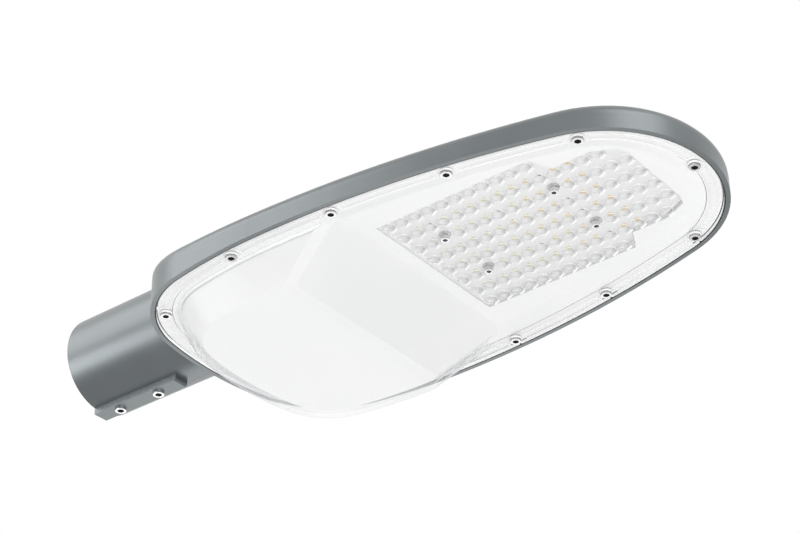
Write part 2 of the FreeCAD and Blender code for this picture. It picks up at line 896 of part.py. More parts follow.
def bay(inset, top, edge_radius):
    """The raised bay, moved in by the inset, with its upper end at a height."""
    inset = float(inset)
    base = length("flange_width") + inset
    lean = length("bay_wall_lean")
    bottom = face_z - size("bay_depth") + inset
    solid = frustum(base + lean, bottom, base, face_z, length("bay_rear_shift"))
    if edge_radius:
        rims = [edge for edge in solid.Edges if edge.BoundBox.ZMax < float(bottom) + NEAR]
        solid = solid.makeFillet(edge_radius, rims)
    solid = solid.fuse(prism(base, face_z, top))
    cutters = [ahead_of_slope(inset, float(top) + OVERRUN)]
    cutters += [corner_cutter(inset, side) for side in (-1, 1)]
    return hollowed(solid, cutters)


def bay_tray(edge_inset, face, thickness, window_face, bay_inset, edge_radius):
    """A thin tray: flange, sunken window at the front and raised bay behind it."""
    thick = float(thickness)
    edge_inset = float(edge_inset)
    step_inset = length("flange_width")
    step_width = length("step_width")
    step_depth = float(window_face) - float(face)
    back = float(face) + thick
    window_back = float(window_face) + thick
    top = window_back + OVERRUN
    inner = float(bay_inset) + thick
    plate = prism(edge_inset, face, window_back)
    sunken = frustum(step_inset, float(face) - NEAR, step_inset + step_width, window_face)
    sunken = sunken.common(ahead_of_slope(float(bay_inset) + thick / 2, top))
    solid = joined(hollowed(plate, [sunken]), [bay(bay_inset, window_back, edge_radius)])
    # The wall of the sloping step is as thick as the rest when its back starts this far in.
    back_inset = step_inset + thick * (math.hypot(step_width, step_depth) - step_width) / step_depth
    kept = frustum(back_inset, back, back_inset + step_width, window_back)
    kept = kept.common(ahead_of_slope(inner, top))
    ring = prism(edge_inset - OVERRUN, back, top).cut(kept)
    return hollowed(solid, [ring, bay(inner, top + OVERRUN, 0)])


def cover_shape():
    solid = bay_tray(0, face_z, size("cover_thickness"), face_z + size("step_depth"), 0,
                     length("bay_edge_radius"))
    outside = face_z - OVERRUN
    inside = flange_back_z + OVERRUN
    start = length("flange_groove_start")
    groove = prism(start, outside, face_z + size("flange_groove_depth"))
    groove = groove.cut(prism(start + length("flange_groove_width"), outside, inside))
    for place in SCREW_PLACES:
        groove = groove.cut(bar(place, size("screw_pad_radius"), outside, inside))
    tools = [groove]
    for place in SCREW_PLACES:
        tools.append(bar(place, size("cover_screw_radius") + size("screw_hole_clearance"),
                         outside, inside))
        tools.append(bar(place, size("cover_screw_head_radius") + size("head_clearance"),
                         outside, cover_screw_seat_z()))
        edge_point = (place[0], math.copysign(half_width_at(place[0], 0), place[1]))
        if place[1] == 0:
            edge_point = (length("outline_tip"), 0)
        tools.append(bar(edge_point, size("edge_notch_radius"), outside,
                         face_z + size("cover_screw_sink")))
    return hollowed(solid, tools)


def liner_shape():
    edge = gasket_inner_inset() + length("liner_edge_gap")
    liner_face = seat_z - size("liner_thickness")
    window_face = flange_back_z + size("step_depth") + size("liner_lift")
    bay_inset = size("cover_thickness") + size("liner_gap")
    solid = bay_tray(edge, liner_face, size("liner_thickness"), window_face, bay_inset,
                     length("liner_edge_radius"))
    window = plate_outline_face(length("lens_plate_margin") - length("liner_window_lap"))
    window.translate(Vector(0, 0, float(face_z)))
    return hollowed(solid, [window.extrude(Vector(0, 0, length("face_drop")))])


def gasket_inner_inset():
    return length("gasket_edge_inset") + length("gasket_width")


def gasket_shape():
    outer = prism(size("gasket_edge_inset"), flange_back_z, seat_z)
    low = flange_back_z - OVERRUN
    high = seat_z + OVERRUN
    ring = outer.cut(prism(gasket_inner_inset(), low, high))
    hole_radius = size("cover_screw_radius") + size("screw_hole_clearance")
    return ring.cut([bar(place, hole_radius, low, high) for place in SCREW_PLACES])


# Lamp board, lens plate and pad share one outline that follows the rows of lenses
def plate_corners(margin, rear_margin=None):
    """Corners of the outline as sizes, anticlockwise seen from above."""
    margin = as_size(margin)
    rear = margin if rear_margin is None else as_size(rear_margin)
    first = size("lens_first")
    along = size("lens_pitch_along")
    across = size("lens_pitch_across")
    outer = across * (LAST_ROW / 2) + margin
    middle = across * (LAST_ROW / 2 - 1) + margin
    inner = across * (LAST_ROW / 2 - 2) + margin
    short_end = first + along * (ROW_LENGTHS[0] - 1) + margin
    middle_end = first + along * (ROW_LENGTHS[1] - 1) + margin
    long_end = first + along * (ROW_LENGTHS[2] - 1) + margin
    bevel = across * 0.5
    upper = [
        (long_end, inner),
        (middle_end + bevel, middle - bevel),
        (middle_end - bevel, middle),
        (short_end + bevel, middle),
        (short_end, outer),
        (first - rear, outer),
    ]
    lower = [(x, -y) for x, y in upper]
    return list(reversed(lower)) + upper


def plate_outline_face(margin):
    points = [Vector(float(x), float(y), 0) for x, y in plate_corners(margin)]
    return Part.Face(Part.makePolygon(points + [points[0]]))


def lens_plate_shape():
    margin = length("lens_plate_margin")
    face = plate_outline_face(margin)
    face.translate(Vector(0, 0, float(lens_face_z)))
    solid = face.extrude(Vector(0, 0, length("lens_plate_thickness")))
    hollow = plate_outline_face(margin - length("lens_plate_rim"))
    hollow.translate(Vector(0, 0, float(board_z) - length("lens_plate_recess")))
    hollow = hollow.extrude(Vector(0, 0, length("lens_plate_recess") + OVERRUN))
    pillar = size("lens_screw_head_radius") + size("lens_pillar_wall")
    low = lens_face_z - OVERRUN
    high = board_z + OVERRUN
    hollow = hollow.cut([bar(place, pillar, low, high) for place in LENS_SCREW_PLACES])
    solid = solid.cut(hollow)
    hole = size("lens_screw_radius") + size("screw_hole_clearance")
    solid = solid.cut([bar(place, hole, low, high) for place in LENS_SCREW_PLACES])
    radius = length("lens_radius")
    height = length("lens_height")
    sphere = (radius ** 2 + height ** 2) / (2 * height)
    dome = Part.makeSphere(sphere, Vector(0, 0, float(lens_face_z) - height + sphere))
    dome = dome.common(slab(-sphere, sphere, -sphere, sphere, lens_face_z - height - OVERRUN,
                            lens_face_z + length("lens_root")))
    domes = [dome.translated(Vector(*lens_place(column, row), 0)) for column, row in LENS_CELLS]
    return solid.fuse(domes)


def diode_shapes():
    half = length("diode_side") / 2
    low = board_z - size("diode_height")
    return Part.makeCompound([
        slab(x - half, x + half, y - half, y + half, low, board_z)
        for x, y in (lens_place(column, row) for column, row in DIODE_CELLS)])


# Housing, cover, gasket and liner
shape_node("housing", housing_shape())
shape_node("clear_cover", cover_shape())
shape_node("cover_gasket", gasket_shape())
shape_node("white_liner", liner_shape())

# Screws of the cover, the lens plate and the pole clamp
cover_screw = socket_screw(
    "cover_screw", size("cover_screw_head_radius"), size("cover_screw_head_height"),
    size("cover_screw_radius"), size("cover_screw_length"), size("cover_screw_socket"),
    size("cover_screw_socket_depth"))
cover_head_z = cover_screw_seat_z() - size("cover_screw_head_height")
shape_node("cover_screws", copies(cover_screw, [(*place, cover_head_z)
                                                for place in SCREW_PLACES]))

lens_screw = socket_screw(
    "lens_screw", size("lens_screw_head_radius"), size("lens_screw_head_height"),
    size("lens_screw_radius"), size("lens_screw_length"), size("lens_screw_socket"),
    size("lens_screw_socket_depth"))
lens_head_z = lens_face_z - size("lens_screw_head_height")
shape_node("lens_plate_screws", copies(lens_screw, [(*place, lens_head_z)
                                                    for place in LENS_SCREW_PLACES]))

clamp_blank = Part.makeCylinder(length("clamp_screw_radius"), length("clamp_screw_length"))
clamp_socket = Part.Face(Part.makePolygon(hex_points(size("clamp_screw_socket"))))
clamp_screw = clamp_blank.cut(
    clamp_socket.extrude(Vector(0, 0, length("clamp_screw_socket_depth"))))
clamp_tip = -size("socket_bore_radius") - size("clamp_screw_tip_gap")
clamp_places = [(size("clamp_screw_first") + size("clamp_screw_pitch") * index, 0,
                 clamp_tip - size("clamp_screw_length")) for index in range(2)]
shape_node("clamp_screws", copies(clamp_screw, clamp_places))

# Lamp board with its pad, diodes, lenses and connector
thermal_pad = padded_body("thermal_pad", plate_corners(size("lens_plate_margin")
                                                       + size("board_margin")
                                                       - size("pad_margin")),
                          size("pad_thickness"), platform_z - size("pad_thickness"))
drill(thermal_pad, "thermal_pad_holes", LENS_SCREW_PLACES,
      size("lens_screw_radius") + size("screw_hole_clearance"))
keep(thermal_pad, "thermal_pad")

led_board = padded_body("led_board", plate_corners(size("lens_plate_margin")
                                                   + size("board_margin"),
                                                   size("lens_plate_margin")
                                                   + size("board_rear_margin")),
                        size("board_thickness"), board_z)
drill(led_board, "led_board_holes", LENS_SCREW_PLACES,
      size("lens_screw_radius") + size("screw_hole_clearance"))
keep(led_board, "led_board")

shape_node("led_packages", diode_shapes())
shape_node("lens_plate", lens_plate_shape())

connector_front = size("lens_first") - size("lens_plate_margin") - size("connector_gap")
connector_half = size("connector_width") * 0.5
keep(box("led_connector",
         (connector_front - size("connector_length"), as_size(connector_middle())
          - connector_half, board_z - size("connector_height")),
         (connector_front, as_size(connector_middle()) + connector_half, board_z)),
     "led_connector")

# Gear tray, which hangs on four cast pillars
tray_corners = [
    (size("tray_rear"), -tray_half),
    (size("tray_front"), -tray_half),
    (size("tray_front"), tray_half),
    (size("tray_rear"), tray_half),
]
gear_tray = padded_body("gear_tray", tray_corners, size("tray_thickness"), tray_face_z)
drill(gear_tray, "gear_tray_screw_holes", TRAY_SCREW_PLACES,
      size("gear_screw_radius") + size("screw_hole_clearance"))
gear_screw = slotted_screw(
    "gear_screw", size("gear_screw_head_radius"), size("gear_screw_head_height"),
    size("gear_screw_radius"), size("gear_screw_length"), size("gear_screw_slot_width"),
    size("gear_screw_slot_depth"))
tray_head_z = tray_face_z - size("gear_screw_head_height")
shape_node("gear_tray_screws", copies(gear_screw, [(*place, tray_head_z)
                                                   for place in TRAY_SCREW_PLACES]))

# Driver: case, end caps with tabs, and its two screws
driver_front = size("driver_rear") + size("driver_length")
driver_bottom = tray_face_z - size("driver_height")
driver_block = box("driver_block", (size("driver_rear"), driver_side, driver_bottom),
                   (driver_front, driver_far, tray_face_z))
document.recompute()
driver_case = document.addObject("Part::Fillet", "driver_case")
driver_case.Base = driver_block
long_edges = [number for number, edge in enumerate(driver_block.Shape.Edges, start=1)
              if edge.BoundBox.XLength > length("driver_length") - NEAR]
radius = length("driver_edge_radius")
driver_case.Edges = [(number, radius, radius) for number in long_edges]
keep(driver_case, "driver_case")

cap = size("driver_cap_thickness")
tab_half = size("driver_tab_width") * 0.5
tab_middle = driver_side + size("driver_width") * 0.5
tab_low = tray_face_z - size("driver_tab_thickness")
tab_reach = size("driver_tab_length")
rear_cap = fuse("rear_cap", [
    box("rear_cap_plate", (size("driver_rear") - cap, driver_side, driver_bottom),
        (size("driver_rear"), driver_far, tray_face_z)),
    box("rear_cap_tab", (size("driver_rear") - cap - tab_reach, tab_middle - tab_half, tab_low),
        (size("driver_rear") - cap, tab_middle + tab_half, tray_face_z)),
])
front_cap = fuse("front_cap", [
    box("front_cap_plate", (driver_front, driver_side, driver_bottom),
        (driver_front + cap, driver_far, tray_face_z)),
    box("front_cap_tab", (driver_front + cap, tab_middle - tab_half, tab_low),
        (driver_front + cap + tab_reach, tab_middle + tab_half, tray_face_z)),
])
driver_screw_places = [
    (size("driver_rear") - cap - tab_reach * 0.5, tab_middle),
    (driver_front + cap + tab_reach * 0.5, tab_middle),
]
caps = document.addObject("Part::Compound", "caps")
caps.Links = [rear_cap, front_cap]
cap_holes = [cylinder(f"cap_hole_{index}", (*place, tab_low - OVERRUN),
                      size("gear_screw_radius") + size("screw_hole_clearance"),
                      size("driver_tab_thickness") + OVERRUN * 2)
             for index, place in enumerate(driver_screw_places)]
keep(cut("driver_end_caps", caps, cap_holes), "driver_end_caps")
short_screw = slotted_screw(
    "short_screw", size("gear_screw_head_radius"), size("gear_screw_head_height"),
    size("gear_screw_radius"),
    size("driver_tab_thickness") + size("tray_thickness") + size("short_screw_beyond"),
    size("gear_screw_slot_width"), size("gear_screw_slot_depth"))
shape_node("driver_screws", copies(short_screw, [
    (*place, tab_low - size("gear_screw_head_height")) for place in driver_screw_places]))

# The two leads from the driver to the board's connector
lead_height = board_z - size("connector_height") * 0.5
lead_start = driver_front + cap
leads = document.addObject("Part::Compound", "lead_pair")
leads.Links = [
    cylinder(f"lamp_lead_{index}",
             (lead_start, as_size(connector_middle()) + size("lead_pitch") * offset, lead_height),
             size("lead_radius"),
             connector_front - size("connector_length") - lead_start, "X")
    for index, offset in enumerate((-0.5, 0.5))]
keep(leads, "lamp_leads")

# Surge protector, terminal block, cable clamp and earth screw on the tray
surge_side = driver_far + size("surge_gap")
keep(box("surge_protector",
         (size("surge_rear"), surge_side, tray_face_z - size("surge_height")),
         (size("surge_rear") + size("surge_length"), surge_side + size("surge_width"),
          tray_face_z)),
     "surge_protector")

terminal_low = tray_face_z - size("terminal_height")
terminal_side = driver_far + size("terminal_gap")
terminal_middle = terminal_side + size("terminal_width") * 0.5
terminal_block = box("terminal_body", (size("terminal_rear"), terminal_side, terminal_low),
                     (size("terminal_rear") + size("terminal_length"),
                      terminal_side + size("terminal_width"), tray_face_z))
ways = int(round(length("terminal_ways")))
way_pitch = size("terminal_length") * (1.0 / ways)
terminal_cuts = []
terminal_heads = []
for index in range(ways):
    along = size("terminal_rear") + way_pitch * (index + 0.5)
    terminal_cuts.append(cylinder(
        f"terminal_way_{index}",
        (along, terminal_side - OVERRUN, tray_face_z - size("terminal_height") * 0.5),
        size("terminal_hole_radius"), size("terminal_width") + OVERRUN * 2, "Y"))
    terminal_cuts.append(cylinder(
        f"terminal_well_{index}", (along, terminal_middle, terminal_low - OVERRUN),
        size("terminal_screw_radius") + size("hole_clearance"),
        size("terminal_screw_sink") + size("terminal_screw_height") + OVERRUN))
    terminal_heads.append((along, terminal_middle, terminal_low + size("terminal_screw_sink")))
keep(cut("terminal_block", terminal_block, terminal_cuts), "terminal_block")
terminal_screw = Part.makeCylinder(length("terminal_screw_radius"),
                                   length("terminal_screw_height"))
slot_half = length("terminal_slot_width") / 2
terminal_slot = slab(-length("terminal_screw_radius"), length("terminal_screw_radius"),
                     -slot_half, slot_half, 0, length("terminal_slot_depth"))
shape_node("terminal_screws", copies(terminal_screw.cut(terminal_slot), terminal_heads))

clamp_low = tray_face_z - size("clamp_bar_height")
# The bar lies in line with the terminal block, where the cable goes on.
clamp_side = terminal_middle - size("clamp_bar_width") * 0.5
clamp_far = clamp_side + size("clamp_bar_width")
clamp_front = size("clamp_bar_rear") + size("clamp_bar_length")
clamp_along = size("clamp_bar_rear") + size("clamp_bar_length") * 0.5
clamp_screw_sides = [clamp_side + size("clamp_bar_screw_edge"),
                     clamp_far - size("clamp_bar_screw_edge")]
clamp_bar = box("clamp_bar_block", (size("clamp_bar_rear"), clamp_side, clamp_low),
                (clamp_front, clamp_far, tray_face_z))
clamp_cuts = [cylinder("clamp_bar_groove",
                       (size("clamp_bar_rear") - OVERRUN, terminal_middle, tray_face_z),
                       size("clamp_bar_groove_radius"),
                       size("clamp_bar_length") + OVERRUN * 2, "X")]
for index, aside in enumerate(clamp_screw_sides):
    clamp_cuts.append(cylinder(f"clamp_bar_hole_{index}",
                               (clamp_along, aside, clamp_low - OVERRUN),
                               size("gear_screw_radius") + size("screw_hole_clearance"),
                               size("clamp_bar_height") + OVERRUN * 2))
keep(cut("cable_clamp", clamp_bar, clamp_cuts), "cable_clamp")
clamp_bar_screw = slotted_screw(
    "clamp_bar_screw", size("gear_screw_head_radius"), size("gear_screw_head_height"),
    size("gear_screw_radius"),
    size("clamp_bar_height") + size("tray_thickness") + size("short_screw_beyond"),
    size("gear_screw_slot_width"), size("gear_screw_slot_depth"))
shape_node("cable_clamp_screws", copies(clamp_bar_screw, [
    (clamp_along, aside, clamp_low - size("gear_screw_head_height"))
    for aside in clamp_screw_sides]))

earth_low = tray_face_z - size("earth_washer_thickness")
earth_screw = slotted_screw(
    "earth_screw_blank", size("gear_screw_head_radius"), size("gear_screw_head_height"),
    size("gear_screw_radius"),
    size("earth_washer_thickness") + size("tray_thickness") + size("earth_screw_beyond"),
    size("gear_screw_slot_width"), size("gear_screw_slot_depth"))
earth_place = (size("earth_place"), tray_half - size("earth_edge"))
shape_node("earth_screw", copies(earth_screw, [
    (*earth_place, earth_low - size("gear_screw_head_height"))]))
earth_washer = cylinder("earth_washer_disc", (*earth_place, earth_low),
                        size("earth_washer_radius"), size("earth_washer_thickness"))
earth_hole = cylinder("earth_washer_hole", (*earth_place, earth_low - OVERRUN),
                      size("gear_screw_radius") + size("thread_clearance"),
                      size("earth_washer_thickness") + OVERRUN * 2)
keep(cut("earth_washer", earth_washer, [earth_hole]), "earth_washer")

short_hole_places = driver_screw_places + [(clamp_along, aside) for aside in clamp_screw_sides]
short_hole_places.append(earth_place)
drill(gear_tray, "gear_tray_tapped_holes", short_hole_places,
      size("gear_screw_radius") + size("thread_clearance"))
keep(gear_tray, "gear_tray")

# Cable gland through the bulkhead, on the axis of the socket
bulkhead = size("bulkhead_start")
flange_start = bulkhead - size("gland_flange_thickness")
cap_start = flange_start - size("gland_cap_length")
thread_end = nut_seat_x + size("gland_thread_beyond")
gland_outer = fuse("gland_outer", [
    cylinder("gland_flange", (flange_start, 0, 0), size("gland_flange_radius"),
             size("gland_flange_thickness"), "X"),
    cylinder("gland_thread", (flange_start, 0, 0), size("gland_thread_radius"),
             thread_end - flange_start, "X"),
])
gland_bore = cylinder("gland_bore", (flange_start - OVERRUN, 0, 0),
                      size("gland_bore_radius"), thread_end - flange_start + OVERRUN * 2, "X")
keep(cut("cable_gland_body", gland_outer, [gland_bore]), "cable_gland_body")
cap_outer = cylinder("gland_cap_outer", (cap_start, 0, 0), size("gland_cap_radius"),
                     size("gland_cap_length"), "X")
cap_bore = cylinder("gland_cap_bore", (cap_start - OVERRUN, 0, 0),
                    size("gland_bore_radius"), size("gland_cap_length") + OVERRUN * 2, "X")
keep(cut("cable_gland_cap", cap_outer, [cap_bore]), "cable_gland_cap")
nut_outer = Part.Face(Part.makePolygon(hex_points(size("gland_nut_flats"))))
nut_blank = nut_outer.extrude(Vector(0, 0, length("gland_nut_thickness")))
nut_blank.Placement = FreeCAD.Placement(Vector(float(nut_seat_x), 0, 0), TURNS["X"])
nut_hole = Part.makeCylinder(length("gland_thread_radius") + length("thread_clearance"),
                             length("gland_nut_thickness") + OVERRUN * 2,
                             Vector(float(nut_seat_x) - OVERRUN, 0, 0), Vector(1, 0, 0))
shape_node("cable_gland_nut", nut_blank.cut(nut_hole))
seal_start = cap_start + size("gland_seal_step")
seal_length = size("gland_cap_length") + size("gland_flange_thickness") - size("gland_seal_step")
seal_outer = cylinder("gland_seal_outer", (seal_start, 0, 0),
                      size("gland_bore_radius") - size("gland_seal_wall_gap"), seal_length, "X")
seal_bore = cylinder("gland_seal_bore", (seal_start - OVERRUN, 0, 0),
                     size("gland_seal_hole_radius"), seal_length + OVERRUN * 2, "X")
keep(cut("cable_gland_seal", seal_outer, [seal_bore]), "cable_gland_seal")

# Breather vent above the gland
vent_start = bulkhead - size("vent_head_thickness")
vent_end = nut_seat_x + size("vent_stem_beyond")
vent_outer = fuse("vent_outer", [
    cylinder("vent_head", (vent_start, 0, size("vent_height")), size("vent_head_radius"),
             size("vent_head_thickness"), "X"),
    cylinder("vent_stem", (vent_start, 0, size("vent_height")), size("vent_stem_radius"),
             vent_end - vent_start, "X"),
])
vent_bore = cylinder("vent_bore", (vent_start + size("vent_head_wall"), 0, size("vent_height")),
                     size("vent_bore_radius"), vent_end - vent_start, "X")
keep(cut("breather_vent", vent_outer, [vent_bore]), "breather_vent")

document.recompute()


def check_document():
    faults = []
    for item in document.Objects:
        if "Invalid" in item.State or "Error" in item.State:
            faults.append(f"{item.Label}: {item.State}")
    for node in nodes:
        if node.Shape.isNull() or not node.Shape.isValid() or not node.Shape.Solids:
            faults.append(f"{node.Label}: shape null or not valid")
    if faults:
        raise RuntimeError("; ".join(faults))


check_document()
os.makedirs("parts", exist_ok=True)
for node in nodes:
    node.Shape.exportStep(f"parts/{node.Label}.step")
    bounds = node.Shape.BoundBox
    print(f"{node.Label}: {len(node.Shape.Solids)} solids, {node.Shape.Volume / 1000:.1f} cm3, "
          f"x {bounds.XMin:.1f} to {bounds.XMax:.1f}, y {bounds.YMin:.1f} to {bounds.YMax:.1f}, "
          f"z {bounds.ZMin:.1f} to {bounds.ZMax:.1f}")
print(f"{len(nodes)} nodes")
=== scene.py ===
# %% [markdown]
# # A street light head, dressed for the camera
# The head hangs in white space and is seen from below, from the side of its pole socket. The
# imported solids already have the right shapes, so most of the work here is in the finishes: a
# powder coat on the casting, a clear cover over white sheet, small lenses and metal screws.

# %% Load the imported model
import bmesh
import bpy
import math
from mathutils import Matrix, Vector, geometry


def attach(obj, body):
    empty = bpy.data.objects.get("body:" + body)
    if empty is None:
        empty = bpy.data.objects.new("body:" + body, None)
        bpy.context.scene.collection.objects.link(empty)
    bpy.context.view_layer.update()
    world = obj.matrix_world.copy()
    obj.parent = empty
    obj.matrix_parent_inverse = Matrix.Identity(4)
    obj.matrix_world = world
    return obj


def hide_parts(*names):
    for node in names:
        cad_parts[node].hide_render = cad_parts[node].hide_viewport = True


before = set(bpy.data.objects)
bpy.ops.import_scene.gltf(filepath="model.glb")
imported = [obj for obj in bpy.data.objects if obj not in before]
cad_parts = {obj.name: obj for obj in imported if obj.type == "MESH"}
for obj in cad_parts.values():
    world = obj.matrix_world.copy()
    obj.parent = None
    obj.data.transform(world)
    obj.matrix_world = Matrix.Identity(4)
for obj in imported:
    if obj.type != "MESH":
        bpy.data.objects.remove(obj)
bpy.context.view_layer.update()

# %% [markdown]
# The camera stands below the head and in front of its near side. Its place, turn and lens were
# worked out from the screws, lenses and corners of the real object, so a picture taken with it
# falls on the photograph. Its turn is given by the directions that are right and back to it, and
# the upward one follows from them.

# %% Camera
CAMERA_PLACE = Vector((0.9712, -0.9064, -0.7628))
CAMERA_RIGHT = Vector((0.7876, 0.6161, -0.0119))
CAMERA_BACK = Vector((0.5124, -0.6655, -0.5427))
FOCAL_LENGTH = 93.56
SENSOR_WIDTH = 36.0
SIGHT_LIMIT = 50.0
back = CAMERA_BACK.normalized()
right = (CAMERA_RIGHT - back * CAMERA_RIGHT.dot(back)).normalized()
up = back.cross(right)
camera_turn = Matrix((right, up, back)).transposed().to_4x4()
camera_data = bpy.data.cameras.new("camera")
camera_data.lens = FOCAL_LENGTH
camera_data.sensor_width = SENSOR_WIDTH
camera_data.clip_end = SIGHT_LIMIT
camera = bpy.data.objects.new("camera", camera_data)
camera.matrix_world = Matrix.Translation(CAMERA_PLACE) @ camera_turn
bpy.context.collection.objects.link(camera)
bpy.context.scene.camera = camera
bpy.context.scene.view_settings.view_transform = "Standard"
print("camera lens:", camera_data.lens)

# %% [markdown]
# A product is photographed between large soft lamps, which give broad highlights and faint
# shadows. One stands low beyond the tip and lights the underside. One behind the socket draws a
# bright band along its round side, and one low on the far side shines in the faces of the
# screws. Two high ones light the wall towards the socket and towards the tip, and leave it
# darker between them. Each is a square that faces the middle of the head.

# %% Lamps
HEAD_MIDDLE = Vector((0.27, 0.0, -0.02))


def add_lamp(name, place, side, power):
    """A square lamp at a place, with its side in metres and its power in watts."""
    data = bpy.data.lights.new(name, "AREA")
    data.shape = "SQUARE"
    data.size = side
    data.energy = power
    lamp = bpy.data.objects.new(name, data)
    aim = (HEAD_MIDDLE - Vector(place)).to_track_quat("-Z", "Y")
    lamp.matrix_world = Matrix.Translation(Vector(place)) @ aim.to_matrix().to_4x4()
    bpy.context.collection.objects.link(lamp)


add_lamp("low_lamp", (1.0, -0.5, -1.3), side=1.2, power=13.9)
add_lamp("far_lamp", (-0.55, 0.95, -0.78), side=0.9, power=3.2)
add_lamp("socket_lamp", (-0.95, -0.95, -0.2), side=0.6, power=5.5)
add_lamp("high_rear_lamp", (-0.75, -0.95, 0.85), side=1.1, power=8.0)
add_lamp("high_tip_lamp", (1.45, -0.3, 0.9), side=0.9, power=6.0)
print("lamps:", [light.name for light in bpy.data.lights])

# %% [markdown]
# Every world, group and material here is a tree of nodes. One helper adds a node, sets it up and
# writes fixed values on its inputs, so that the links between nodes are all that is left to do.

# %% Node helper


def new_node(tree, kind, inputs=None, **settings):
    """A node with its settings made first, then fixed values on some inputs."""
    node = tree.nodes.new(kind)
    for key, value in settings.items():
        setattr(node, key, value)
    for label, value in (inputs or {}).items():
        node.inputs[label].default_value = value
    return node


print("node helper ready")

# %% [markdown]
# The ground of the picture is pure white. The world gives an even grey light to the object, but
# shows white to the camera, to mirrors and through glass. A white world as bright as that for
# every ray would wash the object out. Light Path tells the rays apart.

# %% World
AMBIENT_LEVEL = 0.5
WHITE = (1.0, 1.0, 1.0, 1.0)


def seen_directly(tree):
    """A value of 1 for rays from the camera, from mirrors and through glass."""
    rays = new_node(tree, "ShaderNodeLightPath")
    total = rays.outputs["Is Camera Ray"]
    for label in ("Is Glossy Ray", "Is Transmission Ray"):
        step = new_node(tree, "ShaderNodeMath", operation="MAXIMUM")
        tree.links.new(total, step.inputs[0])
        tree.links.new(rays.outputs[label], step.inputs[1])
        total = step.outputs[0]
    return total


world = bpy.data.worlds.new("studio")
bpy.context.scene.world = world
world.use_nodes = True
tree = world.node_tree
tree.nodes.clear()
even_light = new_node(tree, "ShaderNodeBackground", {"Color": WHITE, "Strength": AMBIENT_LEVEL})
white_ground = new_node(tree, "ShaderNodeBackground", {"Color": WHITE})
chooser = new_node(tree, "ShaderNodeMixShader")
world_output = new_node(tree, "ShaderNodeOutputWorld")
tree.links.new(seen_directly(tree), chooser.inputs[0])
tree.links.new(even_light.outputs[0], chooser.inputs[1])
tree.links.new(white_ground.outputs[0], chooser.inputs[2])
tree.links.new(chooser.outputs[0], world_output.inputs[0])
print("world:", world.name)

# %% [markdown]
# The floor is a plain pale sheet. It lies well below the camera, which looks up past it, so it
# only gives a soft light back to the underside.

# %% Floor
FLOOR_HEIGHT = -1.6
FLOOR_SIDE = 9.0
FLOOR_GREY = (0.82, 0.82, 0.82, 1.0)
FLOOR_ROUGHNESS = 0.9
floor_mesh = bpy.data.meshes.new("floor")
floor_build = bmesh.new()
bmesh.ops.create_grid(floor_build, x_segments=1, y_segments=1, size=FLOOR_SIDE / 2,
                      matrix=Matrix.Translation((HEAD_MIDDLE.x, HEAD_MIDDLE.y, FLOOR_HEIGHT)))
floor_build.to_mesh(floor_mesh)
floor_build.free()
floor = bpy.data.objects.new("floor", floor_mesh)
bpy.context.collection.objects.link(floor)
floor_paint = bpy.data.materials.new("pale_floor")
floor_paint.use_nodes = True
floor_shader = floor_paint.node_tree.nodes["Principled BSDF"]
floor_shader.inputs["Base Color"].default_value = FLOOR_GREY
floor_shader.inputs["Roughness"].default_value = FLOOR_ROUGHNESS
floor_mesh.materials.append(floor_paint)
print("floor at", FLOOR_HEIGHT)

# %% [markdown]
# No made surface is one flat colour. A coat of powder melts into a skin like orange peel, a
# moulded part keeps the fine spark texture of its mould, and every batch is a little uneven. One
# node group gives the two things that all these finishes need: a fine height for the bump and a
# slow tone that shifts colour and gloss. Each material sets its own scales.

# %% Node group: surface variation


def new_group(name, inputs, outputs):
    """A shader node group with its sockets, and its two end nodes."""
    group = bpy.data.node_groups.new(name, "ShaderNodeTree")
    for label, value in inputs:
        socket = group.interface.new_socket(label, in_out="INPUT", socket_type="NodeSocketFloat")
        socket.default_value = value
    for label in outputs:
        group.interface.new_socket(label, in_out="OUTPUT", socket_type="NodeSocketFloat")
    return group, group.nodes.new("NodeGroupInput"), group.nodes.new("NodeGroupOutput")


variation, entry, leave = new_group(
    "surface_variation", [("Fine Scale", 900.0), ("Broad Scale", 12.0), ("Stretch", 1.0)],
    ["Height", "Tone"])
place = new_node(variation, "ShaderNodeTexCoord")
spread = new_node(variation, "ShaderNodeCombineXYZ", {"Y": 1.0, "Z": 1.0})
stretched = new_node(variation, "ShaderNodeVectorMath", operation="MULTIPLY")
fine = new_node(variation, "ShaderNodeTexNoise", {"Detail": 3.0})
broad = new_node(variation, "ShaderNodeTexNoise", {"Detail": 4.0})
variation.links.new(entry.outputs["Stretch"], spread.inputs["X"])
variation.links.new(place.outputs["Object"], stretched.inputs[0])
variation.links.new(spread.outputs[0], stretched.inputs[1])
variation.links.new(stretched.outputs[0], fine.inputs["Vector"])
variation.links.new(stretched.outputs[0], broad.inputs["Vector"])
variation.links.new(entry.outputs["Fine Scale"], fine.inputs["Scale"])
variation.links.new(entry.outputs["Broad Scale"], broad.inputs["Scale"])
variation.links.new(fine.outputs["Fac"], leave.inputs["Height"])
variation.links.new(broad.outputs["Fac"], leave.inputs["Tone"])
print("group:", variation.name)

# %% [markdown]
# A lamp head stands outdoors, so fine dust settles on what faces the sky. The mask is the upward
# part of the surface's direction, broken up by a noise.

